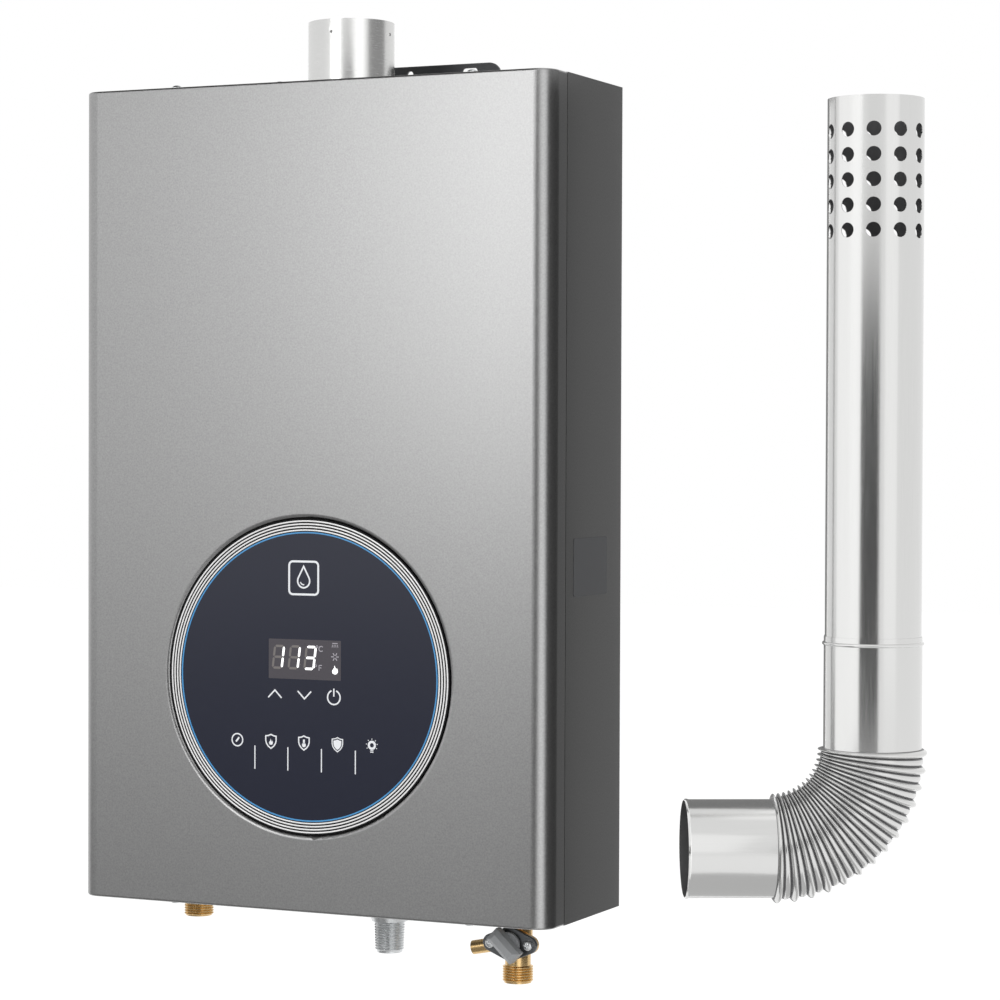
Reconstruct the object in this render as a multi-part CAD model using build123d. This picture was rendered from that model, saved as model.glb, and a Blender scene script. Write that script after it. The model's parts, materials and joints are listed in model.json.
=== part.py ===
from build123d import *
import math
import os

# A wall-hung tankless propane water heater with its separate flue pipe.
# Sizes are in millimetres. X runs to the viewer's right, Y towards the wall and Z up.
# The origin is on the wall plane, on the cabinet's centre line, level with the hanging slots.

# Cabinet
CASE_WIDTH = 360.0
CASE_HEIGHT = 565.0
CASE_DEPTH = 125.0
SHEET = 1.0
CASE_EDGE_RADIUS = 4.0
COVER_DEPTH = 26.0
COVER_CORNER_RADIUS = 13.0
COVER_EDGE_RADIUS = 1.6
SEAM_GAP = 1.0
LIP_CLEARANCE = 0.4
LIP_BAND = 5.0
LIP_BEHIND_CORNER = 0.5

# Screws
COVER_SCREW_X = 114.0
COVER_SCREW_FROM_LIP = 5.5
SCREW_RADIUS = 2.0
SCREW_LENGTH = 9.0
SCREW_CLEARANCE = 0.2
SCREW_HEAD_RADIUS = 3.4
SCREW_HEAD_HEIGHT = 2.8
SCREW_WASHER_RADIUS = 4.4
SCREW_WASHER_HEIGHT = 1.0
CROSS_WIDTH = 1.0
CROSS_LENGTH = 4.2
CROSS_DEPTH = 1.4

# Wall brackets
BRACKET_SHEET = 2.0
BRACKET_WIDTH = 142.0
BRACKET_X = 15.0
BRACKET_RISE = 22.7
BRACKET_DROP = 60.0
BRACKET_CORNER_RADIUS = 9.0
SLOT_ABOVE_TOP = 17.0
SLOT_SPACING = 94.0
SLOT_WIDTH = 5.0
SLOT_LENGTH = 12.0
KEYHOLE_RADIUS = 4.8
KEYHOLE_DROP = 9.0
LOWER_BRACKET_WIDTH = 100.0
LOWER_BRACKET_X = -45.0
LOWER_BRACKET_RISE = 36.0
LOWER_BRACKET_DROP = 15.0
LOWER_HOLE_DROP = 8.0
LOWER_HOLE_SPACING = 60.0
LOWER_HOLE_RADIUS = 3.0
RIVET_RADIUS = 2.0
RIVET_HEAD_RADIUS = 4.0
RIVET_HEAD_HEIGHT = 1.2
RIVET_INSET = 14.0

# Flue collar on the cabinet's top
FLUE_RADIUS = 30.0
FLUE_WALL = 0.8
FLUE_RISE = 46.0
FLUE_FLANGE_WIDTH = 100.0
FLUE_FLANGE_DEPTH = 68.0
FLUE_FLANGE_SHEET = 1.0
FLUE_FLANGE_CORNER = 8.0
FLUE_GASKET = 1.5
FLUE_SCREW_INSET = 8.0
FLUE_PIN_HOLE_RADIUS = 1.1
FLUE_PIN_HOLE_DROP = 9.0
FLUE_PIN_HOLES = 4

# Round control panel in the cover
DIAL_UP = 160.5
DIAL_OPENING_RADIUS = 108.0
DIAL_ROLL_RADIUS = 3.0
DIAL_LEG = 3.2
DIAL_CLEARANCE = 0.3
GLASS_RADIUS = 97.6
GLASS_THICKNESS = 3.0
GLASS_INSET = 1.2
ACCENT_WIDTH = 1.0
ACCENT_PROUD = 0.3
BEZEL_RIDGES = 5
BEZEL_PROUD = 0.6
BEZEL_RIDGE_HEIGHT = 0.8
HOUSING_WALL = 2.0
HOUSING_DEPTH = 24.0
LEDGE_WIDTH = 12.0
HOUSING_FLANGE = 9.0
HOUSING_STEP = 3.0
STUD_COUNT = 4
STUD_RADIUS = 2.0
STUD_CIRCLE = 113.0
STUD_PROUD = 1.3
NUT_FLATS = 7.0
NUT_HEIGHT = 3.2
DISPLAY_WIDTH = 58.0
DISPLAY_HEIGHT = 29.0
DISPLAY_THICKNESS = 5.8
DISPLAY_ABOVE_DIAL = 11.8
KEY_SPACING = 22.8
KEY_BELOW_DIAL = 12.5
KEY_SPRING_RADIUS = 3.5
KEY_SPRING_WALL = 0.8
BOARD_WIDTH = 120.0
BOARD_HEIGHT = 72.0
BOARD_THICKNESS = 1.6
BOARD_ABOVE_DIAL = 4.0
BOARD_POST_RADIUS = 3.5
BOARD_POST_INSET = 7.0
PLATE_WIDTH = 57.0
PLATE_HEIGHT = 39.0
PLATE_THICKNESS = 0.3
PLATE_UP = 237.0
PLATE_BEHIND_FRONT = 68.0

# Water and gas ports under the cabinet
PORT_FROM_WALL = 62.0
HOT_X = -122.0
GAS_X = 31.0
COLD_X = 129.0
THREAD_RADIUS = 10.4775
THREAD_PITCH = 1.814
THREAD_DEPTH = 1.16
THREAD_CREST = 0.5
WATER_BORE_RADIUS = 6.7
HOT_THREAD_LENGTH = 18.8
HOT_SPIGOT_HEIGHT = 20.0
SPIGOT_RADIUS = 9.0
GAS_CONE_TOP_RADIUS = 15.5
GAS_CONE_LOW_RADIUS = 12.4
GAS_CONE_LENGTH = 12.4
GAS_THREAD_TOP_RADIUS = 10.67
GAS_THREAD_TAPER = 1.0 / 32.0
GAS_THREAD_LENGTH = 21.6
GAS_SPIGOT_RADIUS = 12.0
PORT_FLANGE_RADIUS = 14.0
PORT_FLANGE_HEIGHT = 4.0
PORT_EAR_SPACING = 38.0
PORT_EAR_RADIUS = 5.0
PORT_CLEARANCE = 0.2

# Cold inlet with its drain valve
INLET_SHOULDER_RADIUS = 12.0
INLET_SHOULDER_HEIGHT = 9.0
INLET_BODY_RADIUS = 10.0
INLET_NECK_RADIUS = 8.8
INLET_BODY_LENGTH = 35.8
INLET_THREAD_LENGTH = 11.8
INLET_SPIGOT_RADIUS = 9.5
INLET_SPIGOT_HEIGHT = 6.0
VALVE_DROP = 19.5
VALVE_BOSS_RADIUS = 11.0
VALVE_BOSS_REACH = 12.0
VALVE_FLANGE_SHEET = 2.4
VALVE_FLANGE_RADIUS = 11.5
VALVE_SCREW_SPACING = 28.0
VALVE_EAR_RADIUS = 6.0
VALVE_EAR_DEPTH = 2.5
STEM_RADIUS = 3.5
STEM_CLEARANCE = 0.06
STEM_STOP = 7.5
PACKING_RADIUS = 6.5
PACKING_DEPTH = 3.0
KNOB_GAP = 0.8
KNOB_HUB_RADIUS = 8.5
KNOB_HUB_LENGTH = 2.8
KNOB_BAR_LENGTH = 24.0
KNOB_BAR_WIDTH = 10.5
KNOB_BAR_DEPTH = 10.0
KNOB_BAR_BEVEL = 3.0
KNOB_TURN = 44.0
SPOUT_RADIUS = 4.85
SPOUT_BORE_RADIUS = 2.6
SPOUT_REACH = 34.2
SPOUT_FALL = 11.5
GLAND_X = -62.0
GLAND_FROM_WALL = 30.0
GLAND_RADIUS = 7.5
GLAND_BORE_RADIUS = 4.0
GLAND_FLANGE_RADIUS = 11.0
GLAND_FLANGE_HEIGHT = 3.0
GLAND_DROP = 9.0
GLAND_RISE = 9.0
GLAND_NUT_FLATS = 21.0
GLAND_NUT_HEIGHT = 4.0

# Blower and exhaust hood
SCROLL_RADIUS = 62.0
SCROLL_SHEET = 1.0
BLOWER_DROP = 103.0
OUTLET_WIDTH = 54.0
DUCT_DEPTH = 30.0
DUCT_WIDTH = 90.0
HOOD_HEIGHT = 20.0
HOOD_GAP = 5.0
EYE_RADIUS = 32.0
MOTOR_RADIUS = 28.0
MOTOR_LENGTH = 26.0
MOTOR_FLANGE_RADIUS = 34.0
MOTOR_FLANGE_SHEET = 2.0
MOTOR_CLEARANCE = 7.0
MOTOR_END = 4.0
SHAFT_RADIUS = 3.0
SHAFT_CLEARANCE = 0.05
SHAFT_END = 6.0
WHEEL_RADIUS = 47.0
WHEEL_GAP = 5.0
WHEEL_SHEET = 1.2
WHEEL_HUB_RADIUS = 8.0
WHEEL_HUB_LENGTH = 16.0
WHEEL_FIT = 0.02
BLADES = 24
BLADE_DEPTH = 11.0
BLADE_SHEET = 1.0
BLADE_ANGLE = 35.0
WHEEL_RIM_WIDTH = 9.0

# Heat exchanger, combustion chamber and burner
CHAMBER_WIDTH = 190.0
CHAMBER_X = 2.0
CHAMBER_SHEET = 0.8
PANEL_GAP = 4.0
TUBE_RADIUS = 7.5
TUBE_WALL = 0.8
TUBE_PITCH = 19.0
TUBE_COUNT = 3
TUBE_PROUD = 4.0
TUBE_BELOW_HOOD = 40.0
TUBE_CLEARANCE = 0.1
FINS = 26
FIN_SHEET = 0.6
FIN_HEIGHT = 66.0
FIN_CLEARANCE = 0.4
PIPE_BEND_RADIUS = 17.0
BURNER_SHEET = 1.0
BURNER_HEIGHT = 80.0
BURNER_HEADROOM = 10.0
TRAYS = 9
TRAY_PITCH = 20.0
TRAY_WIDTH = 14.0
TRAY_HEIGHT = 68.0
TRAY_BEHIND_NOZZLE = 3.0
TRAY_FROM_BACK = 4.0
TRAY_SLOT_WIDTH = 1.6
TRAY_SLOT_DEPTH = 6.0
TRAY_SLOTS = 7
MANIFOLD_LENGTH = 180.0
MANIFOLD_DEPTH = 13.0
MANIFOLD_HEIGHT = 20.0
MANIFOLD_RISE = 15.0
MANIFOLD_LEG_WIDTH = 20.0
MANIFOLD_LEG_OVERLAP = 30.0
NOZZLE_RADIUS = 3.0
NOZZLE_REACH = 8.0
NOZZLE_CLEARANCE = 0.2
GAS_VALVE_UP = 40.0
GAS_VALVE_WIDTH = 70.0
GAS_VALVE_DEPTH = 48.0
GAS_VALVE_HEIGHT = 75.0
COIL_RADIUS = 14.0
COIL_LENGTH = 36.0
COIL_UP = 34.0
PLUNGER_RADIUS = 5.0
PLUNGER_LENGTH = 30.0
PLUNGER_CLEARANCE = 0.05
PLUNGER_SEAT = 6.0
PLUNGER_STROKE = 3.0
PLUNGER_END = 1.0
ELECTRODES = 2
ELECTRODE_SPACING = 40.0
ELECTRODE_RISE = 9.0
ELECTRODE_RADIUS = 3.5
ELECTRODE_TIP_RADIUS = 1.0
ELECTRODE_OUT = 10.0
ELECTRODE_IN = 8.0
ELECTRODE_TIP = 16.0
ELECTRODE_CLEARANCE = 0.2
CUTOUT_RADIUS = 9.0
CUTOUT_HEIGHT = 5.0
CUTOUT_BELOW_TUBES = 45.0

# Flow sensor, pipes and electrics
SENSOR_RADIUS = 14.5
SENSOR_HEIGHT = 69.0
SENSOR_BORE_RADIUS = 9.0
SPIDER_UP = 16.0
SPIDER_SPACING = 26.0
SPIDER_HEIGHT = 3.0
SPIDER_ARMS = 3
SPIDER_ARM_WIDTH = 1.6
SPIDER_HUB_RADIUS = 2.6
AXLE_RADIUS = 1.0
AXLE_CLEARANCE = 0.05
TURBINE_RADIUS = 8.2
TURBINE_HUB_RADIUS = 3.0
TURBINE_BLADES = 5
TURBINE_BLADE_SHEET = 0.9
TURBINE_BLADE_TILT = 30.0
TURBINE_END_GAP = 0.4
CONTROL_WIDTH = 62.0
CONTROL_DEPTH = 40.0
CONTROL_HEIGHT = 115.0
CONTROL_WALL = 2.0
CONTROL_FROM_SIDE = 10.0
CONTROL_BELOW_TUBES = 22.0
CONTROL_BOARD_UP = 12.0
IGNITER_WIDTH = 30.0
IGNITER_DEPTH = 30.0
IGNITER_HEIGHT = 60.0
IGNITER_FROM_SIDE = 9.0
IGNITER_UP = 140.0
IGNITER_EDGE_RADIUS = 3.0

# Separate flue pipe, which stands to the right of the cabinet
PIPE_X = 398.0
PIPE_FROM_WALL = 119.5
PIPE_SOCKET_UP = 66.8
PIPE_TURN = 27.0
PIPE_FIT = 0.2
PIPE_WALL = 0.5
SOCKET_LENGTH = 55.0
ELBOW_RADIUS = 63.0
ELBOW_RIBS = 27
RIB_HEIGHT = 2.4
SMALL_RIB_HEIGHT = 1.5
RIB_FOOT = 0.06
RIB_CREST = 0.34
SLEEVE_LENGTH = 70.0
SLEEVE_BEAD_UP = 65.6
SLEEVE_BEAD_RADIUS = 1.1
FLUE_TUBE_FIT = 0.1
FLUE_TUBE_INSERT = 50.0
FLUE_TUBE_LENGTH = 385.0
FLUE_HOLE_RADIUS = 4.6
FLUE_HOLE_ROWS = 5
FLUE_HOLES_ROUND = 11
FLUE_HOLE_PITCH = 15.5
FLUE_HOLE_DROP = 21.0
FLUE_HOLE_TURN = 15.2

# Planes and places that follow from the sizes
BACK_Y = -BRACKET_SHEET
FRONT_Y = BACK_Y - CASE_DEPTH
SEAM_Y = FRONT_Y + COVER_DEPTH
CASE_FRONT_Y = SEAM_Y + SEAM_GAP
LIP_FRONT_Y = FRONT_Y + COVER_CORNER_RADIUS + LIP_BEHIND_CORNER
LIP_BACK_Y = CASE_FRONT_Y + LIP_BAND
LIP_INSET = SHEET + LIP_CLEARANCE
LIP_INNER = LIP_INSET + SHEET
INNER_BACK_Y = BACK_Y - SHEET
TOP_Z = -SLOT_ABOVE_TOP
BOTTOM_Z = TOP_Z - CASE_HEIGHT
FLOOR_Z = BOTTOM_Z + SHEET
CEILING_Z = TOP_Z - SHEET
SIDE_X = CASE_WIDTH / 2
INNER_SIDE_X = SIDE_X - SHEET
PORT_Y = -PORT_FROM_WALL
PORT_TOP_Z = FLOOR_Z + PORT_FLANGE_HEIGHT
COVER_SCREW_Y = LIP_FRONT_Y + COVER_SCREW_FROM_LIP
SCREW_HOLE_RADIUS = SCREW_RADIUS + SCREW_CLEARANCE
DIAL_Z = BOTTOM_Z + DIAL_UP
GLASS_BACK = GLASS_INSET + GLASS_THICKNESS
DIAL_LIP_END = DIAL_ROLL_RADIUS + DIAL_LEG
BOARD_FRONT = GLASS_BACK + DISPLAY_THICKNESS
PANEL_BACK_Y = FRONT_Y + DIAL_LIP_END + HOUSING_DEPTH
CHAMBER_FRONT_Y = PANEL_BACK_Y + PANEL_GAP + MANIFOLD_DEPTH
CHAMBER_LEFT = CHAMBER_X - CHAMBER_WIDTH / 2
CHAMBER_RIGHT = CHAMBER_X + CHAMBER_WIDTH / 2
DUCT_FRONT_Y = INNER_BACK_Y - DUCT_DEPTH
BLOWER_FRONT_Y = FRONT_Y + MOTOR_CLEARANCE + MOTOR_LENGTH
FLUE_Y = (BLOWER_FRONT_Y + DUCT_FRONT_Y) / 2
BLOWER_X = OUTLET_WIDTH / 2 - SCROLL_RADIUS
BLOWER_Z = TOP_Z - BLOWER_DROP
HOOD_TOP_Z = BLOWER_Z - SCROLL_RADIUS - HOOD_GAP
CHAMBER_TOP_Z = HOOD_TOP_Z - HOOD_HEIGHT
GAS_VALVE_Z = BOTTOM_Z + GAS_VALVE_UP
GAS_VALVE_TOP_Z = GAS_VALVE_Z + GAS_VALVE_HEIGHT
BURNER_Z = GAS_VALVE_TOP_Z + BURNER_HEADROOM
BURNER_TOP_Z = BURNER_Z + BURNER_HEIGHT
MANIFOLD_Z = BURNER_Z + MANIFOLD_RISE
TUBE_Z = CHAMBER_TOP_Z - TUBE_BELOW_HOOD
TUBE_YS = [PORT_Y + TUBE_PITCH * i for i in range(TUBE_COUNT)]
TUBE_LEFT = CHAMBER_LEFT - TUBE_PROUD
TUBE_RIGHT = CHAMBER_RIGHT + TUBE_PROUD
TRAY_XS = [CHAMBER_X + TRAY_PITCH * (i - (TRAYS - 1) / 2) for i in range(TRAYS)]
VALVE_Z = BOTTOM_Z - VALVE_DROP
VALVE_BOSS_Y = PORT_Y - VALVE_BOSS_REACH
VALVE_FLANGE_Y = VALVE_BOSS_Y - VALVE_FLANGE_SHEET
KNOB_BACK_Y = VALVE_FLANGE_Y - KNOB_GAP
KNOB_BAR_Y = KNOB_BACK_Y - KNOB_HUB_LENGTH
SENSOR_TOP_Z = FLOOR_Z + SENSOR_HEIGHT
SPIDER_Z = FLOOR_Z + SPIDER_UP
COIL_X = GAS_X - GAS_VALVE_WIDTH / 2
COIL_Y = CHAMBER_FRONT_Y + GAS_VALVE_DEPTH / 2
COIL_Z = GAS_VALVE_Z + COIL_UP
CUFF_INNER_RADIUS = FLUE_RADIUS + PIPE_FIT
CUFF_RADIUS = CUFF_INNER_RADIUS + PIPE_WALL
FLUE_TUBE_RADIUS = CUFF_INNER_RADIUS - FLUE_TUBE_FIT
PIPE_PLACE = Pos(PIPE_X, -PIPE_FROM_WALL, BOTTOM_Z + PIPE_SOCKET_UP + ELBOW_RADIUS) * Rot(0, 0, PIPE_TURN)


# Helpers
def block(x0, x1, y0, y1, z0, z1):
    """A box between two corners."""
    middle = Pos((x0 + x1) / 2, (y0 + y1) / 2, (z0 + z1) / 2)
    return middle * Box(x1 - x0, y1 - y0, z1 - z0)


def rod_x(x0, x1, y, z, radius):
    return Pos((x0 + x1) / 2, y, z) * Rot(0, 90, 0) * Cylinder(radius, x1 - x0)


def rod_y(y0, y1, x, z, radius):
    return Pos(x, (y0 + y1) / 2, z) * Rot(90, 0, 0) * Cylinder(radius, y1 - y0)


def rod_z(z0, z1, x, y, radius):
    return Pos(x, y, (z0 + z1) / 2) * Cylinder(radius, z1 - z0)


def turned(points):
    """A solid of revolution about Z from a closed outline of (radius, height) points."""
    outline = Polyline([(radius, 0, height) for radius, height in points], close=True)
    return revolve(make_face(outline), Axis.Z)


def dial_place():
    """The panel's axis: height 0 on the cover's front plane, heights growing towards the wall."""
    return Pos(0, FRONT_Y, DIAL_Z) * Rot(-90, 0, 0)


def hexagon(flats, height, hole_radius):
    """A hexagonal nut standing on height 0."""
    blank = extrude(RegularPolygon(flats / 2, 6, major_radius=False), height)
    return blank - rod_z(0, height, 0, 0, hole_radius)


def cross_recess(top):
    """The cutter for a screw's cross, which goes down from the head's top."""
    half = CROSS_LENGTH / 2
    thin = CROSS_WIDTH / 2
    wide = block(-half, half, -thin, thin, top - CROSS_DEPTH, top)
    return wide + Rot(0, 0, 90) * wide


def pan_screw(length, washer=True):
    """A cross-head screw whose seat is at height 0 and whose shank points down."""
    lift = SCREW_WASHER_HEIGHT if washer else 0.0
    top = lift + SCREW_HEAD_HEIGHT
    head = rod_z(lift, top, 0, 0, SCREW_HEAD_RADIUS)
    head = fillet(head.edges().group_by(Axis.Z)[-1], SCREW_HEAD_HEIGHT / 2)
    screw = head + rod_z(-length, lift, 0, 0, SCREW_RADIUS)
    if washer:
        screw += rod_z(0, lift, 0, 0, SCREW_WASHER_RADIUS)
    return screw - cross_recess(top)


def thread(radius, length, taper=0.0):
    """A pipe thread as a stack of flat-topped ridges that hangs down from height 0."""
    turns = int(length / THREAD_PITCH)
    flank = (THREAD_PITCH - THREAD_CREST) / 2
    points = [(0, 0), (radius - THREAD_DEPTH, 0)]
    for turn in range(turns):
        start = turn * THREAD_PITCH
        crest = radius - taper * start
        points.append((crest, -start - flank))
        points.append((crest, -start - flank - THREAD_CREST))
        points.append((crest - THREAD_DEPTH, -start - THREAD_PITCH))
    end = radius - taper * length - THREAD_DEPTH
    points.append((end, -length))
    points.append((0, -length))
    return turned(points)


def ear_plate(x, y, z0, z1, radius):
    """A round flange with two screw ears along X."""
    plate = rod_z(z0, z1, x, y, radius)
    half = PORT_EAR_SPACING / 2
    plate += block(x - half, x + half, y - PORT_EAR_RADIUS, y + PORT_EAR_RADIUS, z0, z1)
    for side in (-half, half):
        plate += rod_z(z0, z1, x + side, y, PORT_EAR_RADIUS)
    for side in (-half, half):
        plate -= rod_z(z0, z1, x + side, y, SCREW_HOLE_RADIUS)
    return plate


def water_pipe(points):
    """A copper pipe along straight runs with equal bends."""
    path = FilletPolyline(points, radius=PIPE_BEND_RADIUS)
    ring = Circle(TUBE_RADIUS) - Circle(TUBE_RADIUS - TUBE_WALL)
    return sweep(Plane(origin=path @ 0, z_dir=path % 0) * ring, path)


def group(solids):
    """Like pieces that share one node."""
    return Compound(children=list(solids))


# Cabinet
def upper_rivet_places():
    """X, Z of the rivets that hold the upper bracket to the case's back."""
    half = BRACKET_WIDTH / 2 - RIVET_INSET
    rows = (TOP_Z - RIVET_INSET, TOP_Z - BRACKET_DROP + RIVET_INSET)
    return [(BRACKET_X + side * half, row) for row in rows for side in (-1, 1)]


def lower_rivet_places():
    half = LOWER_BRACKET_WIDTH / 2 - RIVET_INSET
    row = BOTTOM_Z + LOWER_BRACKET_RISE - RIVET_INSET
    return [(LOWER_BRACKET_X + side * half, row) for side in (-1, 1)]


def port_screw_places():
    half = PORT_EAR_SPACING / 2
    return [(x + side * half, PORT_Y) for x in (HOT_X, GAS_X, COLD_X) for side in (-1, 1)]


def flue_screw_places():
    half_x = FLUE_FLANGE_WIDTH / 2 - FLUE_SCREW_INSET
    half_y = FLUE_FLANGE_DEPTH / 2 - FLUE_SCREW_INSET
    return [(x, FLUE_Y + y) for x in (-half_x, half_x) for y in (-half_y, half_y)]


def case_slice(low, high):
    """A level slice of the case's outline, with its back corners rounded."""
    outline = block(-SIDE_X, SIDE_X, CASE_FRONT_Y, BACK_Y, low, high)
    return fillet(outline.edges().filter_by(Axis.Z).group_by(Axis.Y)[-1], CASE_EDGE_RADIUS)


def make_rear_case():
    wrap = case_slice(FLOOR_Z, CEILING_Z)
    hollow = block(-INNER_SIDE_X, INNER_SIDE_X, CASE_FRONT_Y, INNER_BACK_Y, FLOOR_Z, CEILING_Z)
    wrap -= fillet(hollow.edges().filter_by(Axis.Z).group_by(Axis.Y)[-1], CASE_EDGE_RADIUS - SHEET)
    low = BOTTOM_Z + LIP_INNER
    high = TOP_Z - LIP_INNER
    for side in (-1, 1):
        x0, x1 = sorted((side * (SIDE_X - LIP_INNER), side * SIDE_X))
        wrap += block(x0, x1, CASE_FRONT_Y, LIP_BACK_Y, low, high)
        x0, x1 = sorted((side * (SIDE_X - LIP_INNER), side * (SIDE_X - LIP_INSET)))
        wrap += block(x0, x1, LIP_FRONT_Y, LIP_BACK_Y, low, high)
    for x, z in upper_rivet_places() + lower_rivet_places():
        wrap -= rod_y(INNER_BACK_Y, BACK_Y, x, z, RIVET_RADIUS)
    return wrap


def case_end(outside, inwards):
    """An end plate of the case with its stepped front lip; inwards is -1 at the top and 1 at the floor."""
    sheet_z, inset_z, inner_z = [outside + inwards * depth for depth in (SHEET, LIP_INSET, LIP_INNER)]
    lip_x = SIDE_X - LIP_INSET
    plate = case_slice(min(outside, sheet_z), max(outside, sheet_z))
    low, high = sorted((sheet_z, inner_z))
    plate += block(-INNER_SIDE_X, INNER_SIDE_X, CASE_FRONT_Y, LIP_BACK_Y, low, high)
    low, high = sorted((inset_z, inner_z))
    plate += block(-lip_x, lip_x, LIP_FRONT_Y, LIP_BACK_Y, low, high)
    low, high = sorted((outside, inner_z))
    for x in (-COVER_SCREW_X, COVER_SCREW_X):
        plate -= rod_z(low, high, x, COVER_SCREW_Y, SCREW_HOLE_RADIUS)
    return plate


def make_case_top():
    plate = case_end(TOP_Z, -1)
    plate -= rod_z(CEILING_Z, TOP_Z, 0, FLUE_Y, FLUE_RADIUS - FLUE_WALL)
    for x, y in flue_screw_places():
        plate -= rod_z(CEILING_Z, TOP_Z, x, y, SCREW_HOLE_RADIUS)
    return plate


def make_case_floor():
    plate = case_end(BOTTOM_Z, 1)
    for x, y in port_screw_places():
        plate -= rod_z(BOTTOM_Z, FLOOR_Z, x, y, SCREW_HOLE_RADIUS)
    ports = (
        (HOT_X, PORT_Y, THREAD_RADIUS),
        (GAS_X, PORT_Y, GAS_SPIGOT_RADIUS),
        (COLD_X, PORT_Y, INLET_SPIGOT_RADIUS),
        (GLAND_X, -GLAND_FROM_WALL, GLAND_RADIUS),
    )
    for x, y, radius in ports:
        plate -= rod_z(BOTTOM_Z, FLOOR_Z, x, y, radius + PORT_CLEARANCE)
    return plate


def dial_lip():
    """The cover's sheet rolled inwards round the panel's opening."""
    outer = DIAL_ROLL_RADIUS
    inner = DIAL_ROLL_RADIUS - SHEET
    centre = DIAL_OPENING_RADIUS + DIAL_ROLL_RADIUS
    mid_out = (centre - outer * math.sqrt(0.5), 0, outer - outer * math.sqrt(0.5))
    mid_in = (centre - inner * math.sqrt(0.5), 0, outer - inner * math.sqrt(0.5))
    roll_start = (centre, 0, 0)
    roll_end = (DIAL_OPENING_RADIUS, 0, outer)
    leg_out = (DIAL_OPENING_RADIUS, 0, DIAL_LIP_END)
    leg_in = (DIAL_OPENING_RADIUS + SHEET, 0, DIAL_LIP_END)
    inner_end = (DIAL_OPENING_RADIUS + SHEET, 0, outer)
    inner_start = (centre, 0, SHEET)
    edges = [
        ThreePointArc(roll_start, mid_out, roll_end),
        Line(roll_end, leg_out),
        Line(leg_out, leg_in),
        Line(leg_in, inner_end),
        ThreePointArc(inner_end, mid_in, inner_start),
        Line(inner_start, roll_start),
    ]
    return dial_place() * revolve(make_face(edges), Axis.Z)


def stud_angles():
    return [360.0 * (i + 0.5) / STUD_COUNT for i in range(STUD_COUNT)]


def make_front_cover():
    shell = block(-SIDE_X, SIDE_X, FRONT_Y, SEAM_Y, BOTTOM_Z, TOP_Z)
    shell = fillet(shell.edges().filter_by(Axis.Z).group_by(Axis.Y)[0], COVER_CORNER_RADIUS)
    rim = shell.faces().filter_by(Axis.Z).edges().filter_by_position(Axis.Y, FRONT_Y, SEAM_Y - SHEET)
    shell = fillet(rim, COVER_EDGE_RADIUS)
    hollow = block(-INNER_SIDE_X, INNER_SIDE_X, FRONT_Y + SHEET, SEAM_Y, FLOOR_Z, CEILING_Z)
    hollow = fillet(hollow.edges().filter_by(Axis.Z).group_by(Axis.Y)[0], COVER_CORNER_RADIUS - SHEET)
    cover = shell - hollow
    cover -= dial_place() * rod_z(0, SHEET, 0, 0, DIAL_OPENING_RADIUS + DIAL_ROLL_RADIUS)
    cover += dial_lip()
    stud_end = DIAL_LIP_END + HOUSING_WALL + NUT_HEIGHT + STUD_PROUD
    for angle in stud_angles():
        stud = Rot(0, 0, angle) * rod_z(SHEET / 2, stud_end, STUD_CIRCLE, 0, STUD_RADIUS)
        cover += dial_place() * stud
    for x in (-COVER_SCREW_X, COVER_SCREW_X):
        cover -= rod_z(CEILING_Z, TOP_Z, x, COVER_SCREW_Y, SCREW_HOLE_RADIUS)
        cover -= rod_z(BOTTOM_Z, FLOOR_Z, x, COVER_SCREW_Y, SCREW_HOLE_RADIUS)
    return cover


def make_cover_screws():
    screw = pan_screw(SCREW_LENGTH)
    screws = []
    for x in (-COVER_SCREW_X, COVER_SCREW_X):
        screws.append(Pos(x, COVER_SCREW_Y, TOP_Z) * screw)
        screws.append(Pos(x, COVER_SCREW_Y, BOTTOM_Z) * Rot(180, 0, 0) * screw)
    return group(screws)


def make_wall_bracket():
    left = BRACKET_X - BRACKET_WIDTH / 2
    right = BRACKET_X + BRACKET_WIDTH / 2
    plate = block(left, right, BACK_Y, 0, TOP_Z - BRACKET_DROP, TOP_Z + BRACKET_RISE)
    plate = fillet(plate.edges().filter_by(Axis.Y), BRACKET_CORNER_RADIUS)
    for side in (-1, 1):
        slot = SlotOverall(SLOT_LENGTH, SLOT_WIDTH)
        cutter = extrude(slot, BRACKET_SHEET)
        plate -= Pos(BRACKET_X + side * SLOT_SPACING / 2, 0, 0) * Rot(90, 0, 0) * cutter
    plate -= rod_y(BACK_Y, 0, BRACKET_X, 0, SLOT_WIDTH / 2)
    plate -= block(BRACKET_X - SLOT_WIDTH / 2, BRACKET_X + SLOT_WIDTH / 2, BACK_Y, 0, -KEYHOLE_DROP, 0)
    plate -= rod_y(BACK_Y, 0, BRACKET_X, -KEYHOLE_DROP, KEYHOLE_RADIUS)
    for x, z in upper_rivet_places():
        plate -= rod_y(BACK_Y, 0, x, z, RIVET_RADIUS)
    return plate


def make_lower_bracket():
    left = LOWER_BRACKET_X - LOWER_BRACKET_WIDTH / 2
    right = LOWER_BRACKET_X + LOWER_BRACKET_WIDTH / 2
    plate = block(left, right, BACK_Y, 0, BOTTOM_Z - LOWER_BRACKET_DROP, BOTTOM_Z + LOWER_BRACKET_RISE)
    plate = fillet(plate.edges().filter_by(Axis.Y), BRACKET_CORNER_RADIUS)
    for side in (-1, 1):
        x = LOWER_BRACKET_X + side * LOWER_HOLE_SPACING / 2
        plate -= rod_y(BACK_Y, 0, x, BOTTOM_Z - LOWER_HOLE_DROP, LOWER_HOLE_RADIUS)
    for x, z in lower_rivet_places():
        plate -= rod_y(BACK_Y, 0, x, z, RIVET_RADIUS)
    return plate


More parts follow.
